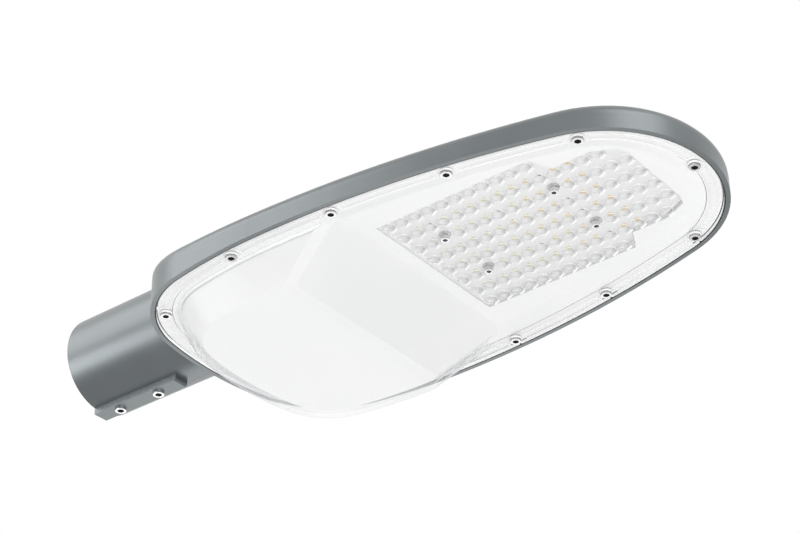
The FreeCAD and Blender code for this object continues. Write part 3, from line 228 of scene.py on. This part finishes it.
# %% Node group: settled dust
dust, entry, leave = new_group("settled_dust", [("Amount", 0.3), ("Scale", 30.0)], ["Mask"])
facing = new_node(dust, "ShaderNodeNewGeometry")
split = new_node(dust, "ShaderNodeSeparateXYZ")
place = new_node(dust, "ShaderNodeTexCoord")
patches = new_node(dust, "ShaderNodeTexNoise", {"Detail": 6.0})
upward = new_node(dust, "ShaderNodeMapRange", {"From Min": 0.3, "From Max": 1.0})
broken = new_node(dust, "ShaderNodeMath", operation="MULTIPLY")
scaled = new_node(dust, "ShaderNodeMath", operation="MULTIPLY")
dust.links.new(facing.outputs["Normal"], split.inputs[0])
dust.links.new(split.outputs["Z"], upward.inputs["Value"])
dust.links.new(place.outputs["Object"], patches.inputs["Vector"])
dust.links.new(entry.outputs["Scale"], patches.inputs["Scale"])
dust.links.new(upward.outputs[0], broken.inputs[0])
dust.links.new(patches.outputs["Fac"], broken.inputs[1])
dust.links.new(broken.outputs[0], scaled.inputs[0])
dust.links.new(entry.outputs["Amount"], scaled.inputs[1])
dust.links.new(scaled.outputs[0], leave.inputs["Mask"])
print("group:", dust.name)

# %% [markdown]
# A finish is built in two steps around one Principled shader. The skin comes first: the slow
# tone shifts the gloss between two levels, and the fine height drives a bump. What is constant
# is set on the shader's own sockets.

# %% Skin of a finish
RELIEF_DEPTH = 0.0002


def make_skin(name, gloss, fine, broad, bump, stretch=1.0, **sockets):
    """A material with two roughness levels and a fine bump, still without its colour."""
    material = bpy.data.materials.new(name)
    material.use_nodes = True
    tree = material.node_tree
    shader = tree.nodes["Principled BSDF"]
    skin = new_node(tree, "ShaderNodeGroup", {
        "Fine Scale": fine, "Broad Scale": broad, "Stretch": stretch},
        node_tree=variation, name="skin")
    rough = new_node(tree, "ShaderNodeMapRange", {
        "From Min": 0.3, "From Max": 0.7, "To Min": gloss[0], "To Max": gloss[1]})
    relief = new_node(tree, "ShaderNodeBump", {"Strength": bump, "Distance": RELIEF_DEPTH})
    tree.links.new(skin.outputs["Tone"], rough.inputs["Value"])
    tree.links.new(skin.outputs["Height"], relief.inputs["Height"])
    tree.links.new(rough.outputs[0], shader.inputs["Roughness"])
    tree.links.new(relief.outputs[0], shader.inputs["Normal"])
    for label, value in sockets.items():
        shader.inputs[label.replace("_", " ")].default_value = value
    return material


print("skin helper ready")

# %% [markdown]
# Most finishes then get a colour that drifts between two tones, by the same slow tone as their
# gloss. Clear plastics and phosphor take their colour in another way, so they stop after the
# skin. A finish goes into the first material slot of each solid that has it.

# %% Colour of a finish


def make_finish(name, dark, light, **skin_values):
    """A skin whose colour drifts between a dark and a light tone."""
    material = make_skin(name, **skin_values)
    tree = material.node_tree
    drift = new_node(tree, "ShaderNodeMapRange", {"From Min": 0.35, "From Max": 0.65})
    tone = new_node(tree, "ShaderNodeMix", {"A": (*dark, 1.0), "B": (*light, 1.0)},
                    data_type="RGBA")
    tree.links.new(tree.nodes["skin"].outputs["Tone"], drift.inputs["Value"])
    tree.links.new(drift.outputs[0], tone.inputs["Factor"])
    tree.links.new(tone.outputs["Result"], tree.nodes["Principled BSDF"].inputs["Base Color"])
    return material


def coat(material, *node_names):
    """Give the named solids a finish."""
    for node_name in node_names:
        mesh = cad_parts[node_name].data
        if mesh.materials:
            mesh.materials[0] = material
        else:
            mesh.materials.append(material)
        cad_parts[node_name].material_slots[0].link = "DATA"


print("finish helpers ready")

# %% [markdown]
# The casting has a silver grey powder coat. It is a satin skin with a little metal flake in it,
# so it is half metallic, with a bump like orange peel and a trace of dust on top.

# %% Powder coat on the casting
DUST_COLOUR = (0.46, 0.44, 0.40, 1.0)
powder_coat = make_finish("powder_coat", (0.152, 0.168, 0.175), (0.178, 0.196, 0.202),
                          gloss=(0.3, 0.36), fine=1400.0, broad=14.0, bump=0.25, Metallic=0.55)
tree = powder_coat.node_tree
shader = tree.nodes["Principled BSDF"]
coat_tone = shader.inputs["Base Color"].links[0].from_socket
dusty = new_node(tree, "ShaderNodeGroup", {"Amount": 0.35, "Scale": 26.0}, node_tree=dust)
dusted = new_node(tree, "ShaderNodeMix", {"B": DUST_COLOUR}, data_type="RGBA")
tree.links.new(dusty.outputs["Mask"], dusted.inputs["Factor"])
tree.links.new(coat_tone, dusted.inputs["A"])
tree.links.new(dusted.outputs["Result"], shader.inputs["Base Color"])
coat(powder_coat, "housing")
print("coated housing")

# %% [markdown]
# A lens bends the light on its slopes. That light is painted into the colour here: a painted
# shade greys the middle slope of a dome and a painted highlight whitens its foot, where the light
# is thrown back inside. The slope is how far the surface leans away from level: 0 where it is
# level and 1 where it is upright. One group turns it into a level of painted light and a film
# level.

# %% Node group: lens slopes and their painted light
FOOT_FILM = 0.6
slopes, entry, leave = new_group("lens_slopes_painted_light", [("Flat Film", 0.03)], ["Level", "Film"])
leaning = new_node(slopes, "ShaderNodeNewGeometry")
split = new_node(slopes, "ShaderNodeSeparateXYZ")
levelness = new_node(slopes, "ShaderNodeMath", operation="ABSOLUTE")
lean = new_node(slopes, "ShaderNodeMath", {0: 1.0}, operation="SUBTRACT")
middle_slope = new_node(slopes, "ShaderNodeMapRange", {
    "From Min": 0.03, "From Max": 0.15, "To Min": 0.95, "To Max": 0.55},
    interpolation_type="SMOOTHSTEP")
foot = new_node(slopes, "ShaderNodeMapRange", {"From Min": 0.2, "From Max": 0.27},
                interpolation_type="SMOOTHSTEP")
gathered = new_node(slopes, "ShaderNodeMapRange", {
    "From Min": 0.04, "From Max": 0.18, "To Max": 0.24}, interpolation_type="SMOOTHSTEP")
# The level is painted light: the grey of the middle slope, with the white highlight of the foot
# over it.
level = new_node(slopes, "ShaderNodeMath", operation="MAXIMUM")
foot_film = new_node(slopes, "ShaderNodeMath", {1: FOOT_FILM}, operation="MULTIPLY")
film_level = new_node(slopes, "ShaderNodeMath", operation="MAXIMUM")
slopes.links.new(leaning.outputs["Normal"], split.inputs[0])
slopes.links.new(split.outputs["Z"], levelness.inputs[0])
slopes.links.new(levelness.outputs[0], lean.inputs[1])
for reader in (middle_slope, foot, gathered):
    slopes.links.new(lean.outputs[0], reader.inputs["Value"])
slopes.links.new(entry.outputs["Flat Film"], gathered.inputs["To Min"])
slopes.links.new(foot.outputs[0], foot_film.inputs[0])
slopes.links.new(gathered.outputs[0], film_level.inputs[0])
slopes.links.new(foot_film.outputs[0], film_level.inputs[1])
slopes.links.new(middle_slope.outputs[0], level.inputs[0])
slopes.links.new(foot.outputs[0], level.inputs[1])
slopes.links.new(level.outputs[0], leave.inputs["Level"])
slopes.links.new(film_level.outputs[0], leave.inputs["Film"])
print("group:", slopes.name)

# %% [markdown]
# The cover is a thin wall of clear polycarbonate in front of white sheet. Bent light would draw
# dark lines along its edges that the real one, lit from all round, doesn't show. So it is a thin
# film to the renderer: nearly open when seen face on, and whiter and shinier the flatter the eye
# meets it. Layer Weight gives that angle, and it sets the shader's Alpha. Where the plastic is
# shaped into lenses, their slopes paint shade and highlight into its colour and thicken the film.

# %% Film on the lenses


def paint_lens_light(tree, tint, face_on, thickness):
    """Paint shade and highlight into a clear plastic's colour by its slopes. Returns its film
    where the slopes thicken it.
    """
    lens_shape = new_node(tree, "ShaderNodeGroup", {"Flat Film": face_on}, node_tree=slopes)
    lens_painted_light = new_node(tree, "ShaderNodeMix", {"Factor": 1.0, "A": (*tint, 1.0)},
                      data_type="RGBA", blend_type="MULTIPLY")
    thicker = new_node(tree, "ShaderNodeMath", operation="MAXIMUM")
    tree.links.new(lens_shape.outputs["Level"], lens_painted_light.inputs["B"])
    tree.links.new(lens_painted_light.outputs["Result"], tree.nodes["Principled BSDF"].inputs["Base Color"])
    tree.links.new(thickness, thicker.inputs[0])
    tree.links.new(lens_shape.outputs["Film"], thicker.inputs[1])
    return thicker.outputs[0]


print("lens film helper ready")

# %% [markdown]
# Clear plastic holds back hardly any of the light that falls through it, so the film is thinner
# for that light. Light Path tells shadow rays and diffuse rays from those of the camera.

# %% Light through the film
LIGHT_HELD = 0.2


def let_light_through(tree, thickness):
    """Set a film's thickness as Alpha, thinner for the light that falls through it."""
    rays = new_node(tree, "ShaderNodeLightPath")
    falling = new_node(tree, "ShaderNodeMath", operation="MAXIMUM")
    share = new_node(tree, "ShaderNodeMapRange", {"To Min": 1.0, "To Max": LIGHT_HELD})
    seen_film = new_node(tree, "ShaderNodeMath", operation="MULTIPLY")
    tree.links.new(rays.outputs["Is Shadow Ray"], falling.inputs[0])
    tree.links.new(rays.outputs["Is Diffuse Ray"], falling.inputs[1])
    tree.links.new(falling.outputs[0], share.inputs["Value"])
    tree.links.new(thickness, seen_film.inputs[0])
    tree.links.new(share.outputs[0], seen_film.inputs[1])
    tree.links.new(seen_film.outputs[0], tree.nodes["Principled BSDF"].inputs["Alpha"])


print("light helper ready")

# %% [markdown]
# Two plastics are made with these helpers. The cover's polycarbonate bends light more strongly
# and is greyer at a flat angle. The acrylic of the lens plate also gets the painted shade and
# highlight of its domes.

# %% Clear plastics
FILM_BLEND = 0.35
FACE_ON_LIMIT = 0.36


def make_clear(name, tint, gloss, face_on, edge_on, index, lenses=False):
    """A film that is open face on and covers at a flat angle."""
    material = make_skin(name, gloss=gloss, fine=500.0, broad=20.0, bump=0.02,
                         IOR=index, Base_Color=(*tint, 1.0))
    tree = material.node_tree
    angle = new_node(tree, "ShaderNodeLayerWeight", {"Blend": FILM_BLEND})
    film = new_node(tree, "ShaderNodeMapRange", {
        "From Min": FACE_ON_LIMIT, "To Min": face_on, "To Max": edge_on})
    tree.links.new(angle.outputs["Facing"], film.inputs["Value"])
    thickness = film.outputs[0]
    if lenses:
        thickness = paint_lens_light(tree, tint, face_on, thickness)
    let_light_through(tree, thickness)
    return material


clear_polycarbonate = make_clear("clear_polycarbonate", (0.84, 0.85, 0.865),
                                 gloss=(0.06, 0.09), face_on=0.04, edge_on=0.9, index=1.58)
lens_acrylic = make_clear("lens_acrylic", (0.93, 0.935, 0.94), gloss=(0.05, 0.075),
                          face_on=0.03, edge_on=0.8, index=1.49, lenses=True)
print("clear plastics ready")

# %% [markdown]
# The sheet that hides the control gear is white moulded plastic. The board under the lenses has
# a still whiter coat that throws stray light back, and a grey pad full of ceramic powder leads
# its heat into the casting. The seal under the flange is pale silicone rubber.

# %% White sheet, board and pads
coat(make_finish("white_plastic", (0.86, 0.865, 0.87), (0.9, 0.9, 0.9),
                 gloss=(0.35, 0.5), fine=1100.0, broad=10.0, bump=0.12), "white_liner")
coat(make_finish("board_white", (0.94, 0.94, 0.94), (0.97, 0.97, 0.97),
                 gloss=(0.25, 0.35), fine=900.0, broad=16.0, bump=0.06), "led_board")
coat(make_finish("pad_grey", (0.42, 0.43, 0.46), (0.5, 0.51, 0.54),
                 gloss=(0.7, 0.85), fine=1300.0, broad=24.0, bump=0.3), "thermal_pad")
silicone = make_finish("silicone", (0.82, 0.82, 0.82), (0.87, 0.87, 0.87),
                       gloss=(0.5, 0.65), fine=1000.0, broad=22.0, bump=0.15)
print("white parts ready")

# %% [markdown]
# The screws are stainless steel. Each size gets its own greys, lighter or darker, as painted
# light and shade for how brightly it shines. The gear tray is zinc plated sheet, and its grain is
# stretched along the head. The terminal and earth screws are brass.

# %% Metals
coat(make_finish("stainless_steel", (0.56, 0.56, 0.56), (0.68, 0.68, 0.67),
                 gloss=(0.2, 0.3), fine=2200.0, broad=160.0, bump=0.15,
                 Metallic=1.0), "cover_screws")
coat(make_finish("stainless_painted_lighter", (0.66, 0.66, 0.66), (0.78, 0.78, 0.77),
                 gloss=(0.22, 0.32), fine=2200.0, broad=160.0, bump=0.15,
                 Metallic=1.0), "clamp_screws")
coat(make_finish("stainless_painted_middle", (0.6, 0.6, 0.61), (0.74, 0.74, 0.74),
                 gloss=(0.2, 0.3), fine=2000.0, broad=140.0, bump=0.15,
                 Metallic=1.0), "lens_plate_screws")
coat(make_finish("zinc_steel", (0.5, 0.51, 0.52), (0.68, 0.68, 0.67),
                 gloss=(0.3, 0.5), fine=160.0, broad=60.0, bump=0.1,
                 stretch=0.2, Metallic=1.0), "gear_tray")
coat(make_finish("small_steel", (0.55, 0.55, 0.55), (0.68, 0.68, 0.67),
                 gloss=(0.25, 0.4), fine=2200.0, broad=180.0, bump=0.12, Metallic=1.0),
     "gear_tray_screws", "driver_screws", "cable_clamp_screws")
coat(make_finish("plain_brass", (0.62, 0.44, 0.18), (0.74, 0.56, 0.26),
                 gloss=(0.28, 0.42), fine=2000.0, broad=150.0, bump=0.12, Metallic=1.0),
     "terminal_screws", "earth_screw", "earth_washer")
print("metals ready")

# %% [markdown]
# The gear behind the cover is a painted driver, a red surge protector, red leads and small black,
# ivory and grey plastic parts. Hardly any of it is seen, but each part gets a plain finish.

# %% Plastics and rubber inside
coat(make_finish("driver_grey", (0.66, 0.67, 0.68), (0.74, 0.74, 0.75),
                 gloss=(0.3, 0.42), fine=700.0, broad=18.0, bump=0.12,
                 Metallic=0.3), "driver_case")
coat(make_finish("surge_red", (0.34, 0.03, 0.025), (0.42, 0.045, 0.035),
                 gloss=(0.4, 0.55), fine=1000.0, broad=30.0, bump=0.15), "surge_protector")
coat(make_finish("lead_red", (0.38, 0.03, 0.025), (0.46, 0.05, 0.04),
                 gloss=(0.35, 0.5), fine=900.0, broad=60.0, bump=0.1), "lamp_leads")
black_plastic = make_finish("black_plastic", (0.022, 0.022, 0.024), (0.04, 0.04, 0.042),
                            gloss=(0.45, 0.6), fine=1100.0, broad=40.0, bump=0.2)
coat(black_plastic, "driver_end_caps", "cable_clamp", "breather_vent")
coat(make_finish("ivory_plastic", (0.68, 0.65, 0.56), (0.76, 0.73, 0.64),
                 gloss=(0.35, 0.5), fine=1000.0, broad=40.0, bump=0.12),
     "terminal_block", "led_connector")
coat(make_finish("gland_grey", (0.2, 0.205, 0.21), (0.26, 0.265, 0.27),
                 gloss=(0.4, 0.55), fine=900.0, broad=50.0, bump=0.2),
     "cable_gland_body", "cable_gland_cap", "cable_gland_nut")
coat(make_finish("seal_black", (0.012, 0.012, 0.012), (0.025, 0.025, 0.025),
                 gloss=(0.55, 0.7), fine=1200.0, broad=60.0, bump=0.25), "cable_gland_seal")
print("inner plastics ready")

# %% [markdown]
# Each diode is a small square of phosphor that looks yellow while it is off. The batch is not
# even: the packages near the tip look more orange, and those near the socket paler. A colour
# ramp along the head gives that, in place of the drifting tone of the other finishes.

# %% Phosphor
FIRST_DIODES = 0.315
LAST_DIODES = 0.435
MIDDLE_STOP = 0.55
PALE_YELLOW = (0.82, 0.79, 0.6, 1.0)
FULL_YELLOW = (0.8, 0.72, 0.34, 1.0)
ORANGE_YELLOW = (0.86, 0.6, 0.26, 1.0)
phosphor = make_skin("phosphor", gloss=(0.25, 0.4), fine=3000.0, broad=300.0, bump=0.1)
tree = phosphor.node_tree
along_head = new_node(tree, "ShaderNodeTexCoord")
split = new_node(tree, "ShaderNodeSeparateXYZ")
reach = new_node(tree, "ShaderNodeMapRange", {"From Min": FIRST_DIODES, "From Max": LAST_DIODES})
ramp = new_node(tree, "ShaderNodeValToRGB")
ramp.color_ramp.elements[0].color = PALE_YELLOW
ramp.color_ramp.elements[1].color = ORANGE_YELLOW
ramp.color_ramp.elements.new(MIDDLE_STOP).color = FULL_YELLOW
tree.links.new(along_head.outputs["Object"], split.inputs[0])
tree.links.new(split.outputs["X"], reach.inputs["Value"])
tree.links.new(reach.outputs[0], ramp.inputs["Fac"])
tree.links.new(ramp.outputs["Color"], tree.nodes["Principled BSDF"].inputs["Base Color"])
coat(phosphor, "led_packages")
print("phosphor ready")

# %% [markdown]
# Some pieces are copies of solids or small new forms. A solid comes as loose triangles, so a copy
# of it is merged first. Every new piece sits at the origin and rides on the head.

# %% Helpers for pieces
MERGE_DISTANCE = 0.000001


def merged_copy(node_name):
    """The mesh of a solid as a bmesh with its doubled points merged."""
    build = bmesh.new()
    build.from_mesh(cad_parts[node_name].data)
    bmesh.ops.remove_doubles(build, verts=build.verts, dist=MERGE_DISTANCE)
    return build


def new_piece(name, build, *materials):
    """An object at the origin from a bmesh, riding on the head."""
    mesh = bpy.data.meshes.new(name)
    build.to_mesh(mesh)
    build.free()
    for material in materials:
        mesh.materials.append(material)
    piece = bpy.data.objects.new(name, mesh)
    bpy.context.collection.objects.link(piece)
    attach(piece, "root")
    print(name, len(mesh.polygons), "faces")
    return piece


print("piece helpers ready")

# %% [markdown]
# The seal under the flange is soft, and the cover squeezes its face flat. Its solid touches the
# back of the cover exactly, and two surfaces in one plane flicker when the front one is clear.
# So a merged copy of it stands in, with its face a few hundredths of a millimetre further in.

# %% Seal under the flange
LEVEL_ROOM = 0.0001
SEAL_RELIEF = 0.00006
seal_build = merged_copy("cover_gasket")
seal_face = min(point.co.z for point in seal_build.verts)
face_points = [point for point in seal_build.verts if point.co.z < seal_face + LEVEL_ROOM]
bmesh.ops.translate(seal_build, verts=face_points, vec=(0.0, 0.0, SEAL_RELIEF))
seal = new_piece("flange_seal", seal_build, silicone)
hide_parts("cover_gasket")

# %% [markdown]
# The lenses sit in eight rows, and four places hold screws. The solid of the plate has their
# domes. Their places are worked out again here, for the small forms beside and under them.

# %% Places of the lenses
ROW_LENGTHS = (11, 15, 16, 16, 16, 16, 15, 11)
MIDDLE_ROW = (len(ROW_LENGTHS) - 1) / 2
FIRST_LENS = 0.3069
PITCH_ALONG = 0.01038
PITCH_ACROSS = 0.01564
PLATE_FACE = -0.0354
SCREW_CELLS = ((2, 2), (10, 2), (2, 5), (10, 5))


def cell_place(column, row):
    """The middle of a lens or screw place, on the face of the plate."""
    return Vector((FIRST_LENS + column * PITCH_ALONG, (row - MIDDLE_ROW) * PITCH_ACROSS,
                   PLATE_FACE))


lens_places = [cell_place(column, row) for row, count in enumerate(ROW_LENGTHS)
               for column in range(count) if (column, row) not in SCREW_CELLS]
print("lenses:", len(lens_places))

# %% [markdown]
# The cut sides of the lens plate and of the cover are matt. They get a painted glow: a faint
# emission and a white colour that stand for light caught in the clear plastic, and that hide the
# shade in the pockets behind them. Merged copies of both stand in for the solids. Their upright
# faces in a band of heights get the matt finish with its painted glow, apart from those round the
# lens screws.

# %% Clear pieces with matt sides and a painted glow
PLATE_BACK = -0.0330
COVER_FACE = -0.0430
COVER_BACK = -0.0402
SCREW_ROOM = 0.005
UPRIGHT_LIMIT = 0.1
SHARP_TURN = math.radians(35)
# The emission of the matt sides is painted light: they glow, though they are no lamp.
glowing_matt_side = make_finish("glowing_matt_side", (0.95, 0.955, 0.96), (0.97, 0.97, 0.97),
                        gloss=(0.5, 0.6), fine=900.0, broad=30.0, bump=0.1,
                        Emission_Strength=0.12, Emission_Color=WHITE)


def with_matt_sides(node_name, face_height, back_height, plastic):
    """A merged copy of a clear piece whose upright faces between two heights are matt, with a
    painted glow.
    """
    build = merged_copy(node_name)
    build.normal_update()
    for face in build.faces:
        middle = face.calc_center_median()
        upright = abs(face.normal.z) < UPRIGHT_LIMIT and face_height < middle.z < back_height
        clear_of_screws = all((middle.xy - cell_place(*cell).xy).length > SCREW_ROOM
                              for cell in SCREW_CELLS)
        face.material_index = int(upright and clear_of_screws)
        face.smooth = True
    for edge in build.edges:
        edge.smooth = edge.calc_face_angle(0.0) < SHARP_TURN
    piece = new_piece("matt_edged_" + node_name, build, plastic, glowing_matt_side)
    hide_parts(node_name)
    return piece


with_matt_sides("lens_plate", PLATE_FACE, PLATE_BACK, lens_acrylic)
with_matt_sides("clear_cover", COVER_FACE, COVER_BACK, clear_polycarbonate)

# %% [markdown]
# Between the cover's edge and the lip of the casting is a gap of one millimetre. Its shade is
# painted as a thin dark line, which follows the cover's outline. The outline has
# no hollow stretch, so it is the hull of the points on the cover's face.

# %% Outline of the cover
cover_points = [point.co.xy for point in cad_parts["clear_cover"].data.vertices
                if point.co.z < COVER_FACE + LEVEL_ROOM]
outline = [cover_points[index] for index in geometry.convex_hull_2d(cover_points)]
print("points on the outline:", len(outline))

# %% [markdown]
# The dark line of painted shade is a round black cord. A curve with a round bevel makes it in one
# go: its points are those of the outline, moved out into the gap.

# %% Dark cord of painted shade in the gap
CORD_REACH = 0.0005
CORD_RADIUS = 0.00028
CORD_HEIGHT = -0.0426
cord_curve = bpy.data.curves.new("gap_shade_cord", "CURVE")
cord_curve.dimensions = "3D"
cord_curve.bevel_depth = CORD_RADIUS
cord_curve.bevel_resolution = 1
spline = cord_curve.splines.new("POLY")
spline.points.add(len(outline) - 1)
spline.use_cyclic_u = True
for index, spot in enumerate(outline):
    ahead = outline[(index + 1) % len(outline)] - outline[index - 1]
    outward = Vector((ahead.y, -ahead.x)).normalized()
    if outward.dot(spot - HEAD_MIDDLE.xy) < 0:
        outward = -outward
    spline.points[index].co = (*(spot + outward * CORD_REACH), CORD_HEIGHT, 1.0)
cord_path = bpy.data.objects.new("gap_cord_path", cord_curve)
cord_build = bmesh.new()
cord_build.from_mesh(bpy.data.meshes.new_from_object(cord_path))
bpy.data.objects.remove(cord_path)
# The cord's near black is painted shade, not the colour of the pale seal.
gap_shade_black = make_finish("gap_shade_black", (0.03, 0.03, 0.032), (0.05, 0.05, 0.052),
                        gloss=(0.5, 0.65), fine=1200.0, broad=60.0, bump=0.2)
gap_shade_cord = new_piece("gap_shade_cord", cord_build, gap_shade_black)

# %% [markdown]
# Beside each dome, on its far side, stands a short bar with rounded edges that throws the light
# along the road. It is opaque white, a painted highlight for the bright streak it throws. One
# bevelled block is made, turned a little, and copied to every lens.

# %% One ridge
RIDGE_SIZE = (0.0056, 0.0018, 0.0018)
RIDGE_EDGE = 0.0004
RIDGE_TURN = math.radians(-23)
RIDGE_REACH = 0.0044
RIDGE_ROOM = 0.00002
ridge_build = bmesh.new()
bmesh.ops.create_cube(ridge_build, size=1.0)
bmesh.ops.scale(ridge_build, verts=ridge_build.verts, vec=RIDGE_SIZE)
bmesh.ops.bevel(ridge_build, geom=ridge_build.edges[:], offset=RIDGE_EDGE, affect="EDGES",
                segments=2, profile=0.5, material=-1)
bmesh.ops.translate(ridge_build, verts=ridge_build.verts,
                    vec=(0.0, RIDGE_REACH, -RIDGE_SIZE[2] / 2 - RIDGE_ROOM))
bmesh.ops.rotate(ridge_build, verts=ridge_build.verts, cent=(0, 0, 0),
                 matrix=Matrix.Rotation(RIDGE_TURN, 3, "Z"))
ridge_mesh = bpy.data.meshes.new("one_ridge")
ridge_build.to_mesh(ridge_mesh)
ridge_build.free()
print("one ridge:", len(ridge_mesh.polygons), "faces")

# %% [markdown]
# All the ridges are one piece, so each copy is added to the same bmesh and moved to its lens.

# %% Ridges beside the domes
all_ridges = bmesh.new()
for spot in lens_places:
    points_before = len(all_ridges.verts)
    all_ridges.from_mesh(ridge_mesh)
    all_ridges.verts.ensure_lookup_table()
    bmesh.ops.translate(all_ridges, verts=all_ridges.verts[points_before:], vec=spot)
# The ridges' near-white colour is a painted highlight.
ridge_painted_highlight = make_finish("ridge_painted_highlight", (0.96, 0.965, 0.97), (0.98, 0.98, 0.98),
                            gloss=(0.12, 0.2), fine=500.0, broad=20.0, bump=0.02)
ridges = new_piece("lens_ridges", all_ridges, ridge_painted_highlight)

# %% [markdown]
# The shade inside the hexagon sockets of the screws is painted, with dark forms set in them.
# The dark forms have to sit where the screws do, so the screws are found in their own solids:
# points that are joined by edges belong to one screw.

# %% Where the screws are


def screw_faces(node_name):
    """Middle and lowest height of each separate screw of a node."""
    build = merged_copy(node_name)
    waiting = set(build.verts)
    found = []
    while waiting:
        screw = [waiting.pop()]
        for point in screw:
            for edge in point.link_edges:
                other = edge.other_vert(point)
                if other in waiting:
                    waiting.remove(other)
                    screw.append(other)
        lows = [min(point.co[axis] for point in screw) for axis in range(3)]
        highs = [max(point.co[axis] for point in screw) for axis in range(3)]
        found.append(Vector(((lows[0] + highs[0]) / 2, (lows[1] + highs[1]) / 2, lows[2])))
    build.free()
    return found


print("cover screws:", len(screw_faces("cover_screws")))

# %% [markdown]
# A black cup of painted shade lies in each socket just under the head's face. It is a six-sided
# cylinder that is a hair narrower than the socket, turned so that its flats lie along the
# socket's.

# %% Dark cups of painted shade in the sockets
ACROSS_FLATS = {"cover_screws": 0.0040, "lens_plate_screws": 0.0030, "clamp_screws": 0.0046}
CUP_SIDES = 6
CUP_DEPTH = 0.0006
CUP_SINK = 0.00012
CUP_ROOM = 0.00003
CUP_TURN = math.radians(30)
# This near black is painted shade for the deep socket holes.
socket_shade_black = make_finish("socket_shade_black", (0.002, 0.002, 0.002), (0.006, 0.006, 0.006),
                        gloss=(0.6, 0.8), fine=1800.0, broad=200.0, bump=0.3,
                        Specular_IOR_Level=0.1)
cups = bmesh.new()
for node_name, across_flats in ACROSS_FLATS.items():
    radius = across_flats / math.sqrt(3) - CUP_ROOM
    for spot in screw_faces(node_name):
        sunk = Matrix.Translation(spot + Vector((0.0, 0.0, CUP_SINK + CUP_DEPTH / 2)))
        bmesh.ops.create_cone(cups, cap_ends=True, segments=CUP_SIDES, radius1=radius,
                              radius2=radius, depth=CUP_DEPTH,
                              matrix=sunk @ Matrix.Rotation(CUP_TURN, 4, "Z"))
socket_shade_cups = new_piece("socket_shade_cups", cups, socket_shade_black)

# %% [markdown]
# Seven places under the lenses carry no diode but a small black part, soldered at a slant. Each
# is a block with its edges bevelled a little.

# %% Small parts on the bare places
BARE_CELLS = ((2, 1), (10, 1), (6, 2), (10, 3), (10, 4), (6, 5), (10, 6))
CHIP_SIZE = (0.0024, 0.0010, 0.0005)
CHIP_EDGE = 0.0001
CHIP_HEIGHT = -0.03326
CHIP_TURN = math.radians(58)
chips = bmesh.new()
for column, row in BARE_CELLS:
    spot = cell_place(column, row)
    spot.z = CHIP_HEIGHT
    turned = Matrix.Translation(spot) @ Matrix.Rotation(CHIP_TURN, 4, "Z")
    bmesh.ops.create_cube(chips, size=1.0, matrix=turned @ Matrix.Diagonal((*CHIP_SIZE, 1.0)))
bmesh.ops.bevel(chips, geom=chips.edges[:], offset=CHIP_EDGE, affect="EDGES", segments=1,
                profile=0.5, material=-1)
board_chips = new_piece("board_chips", chips, black_plastic)
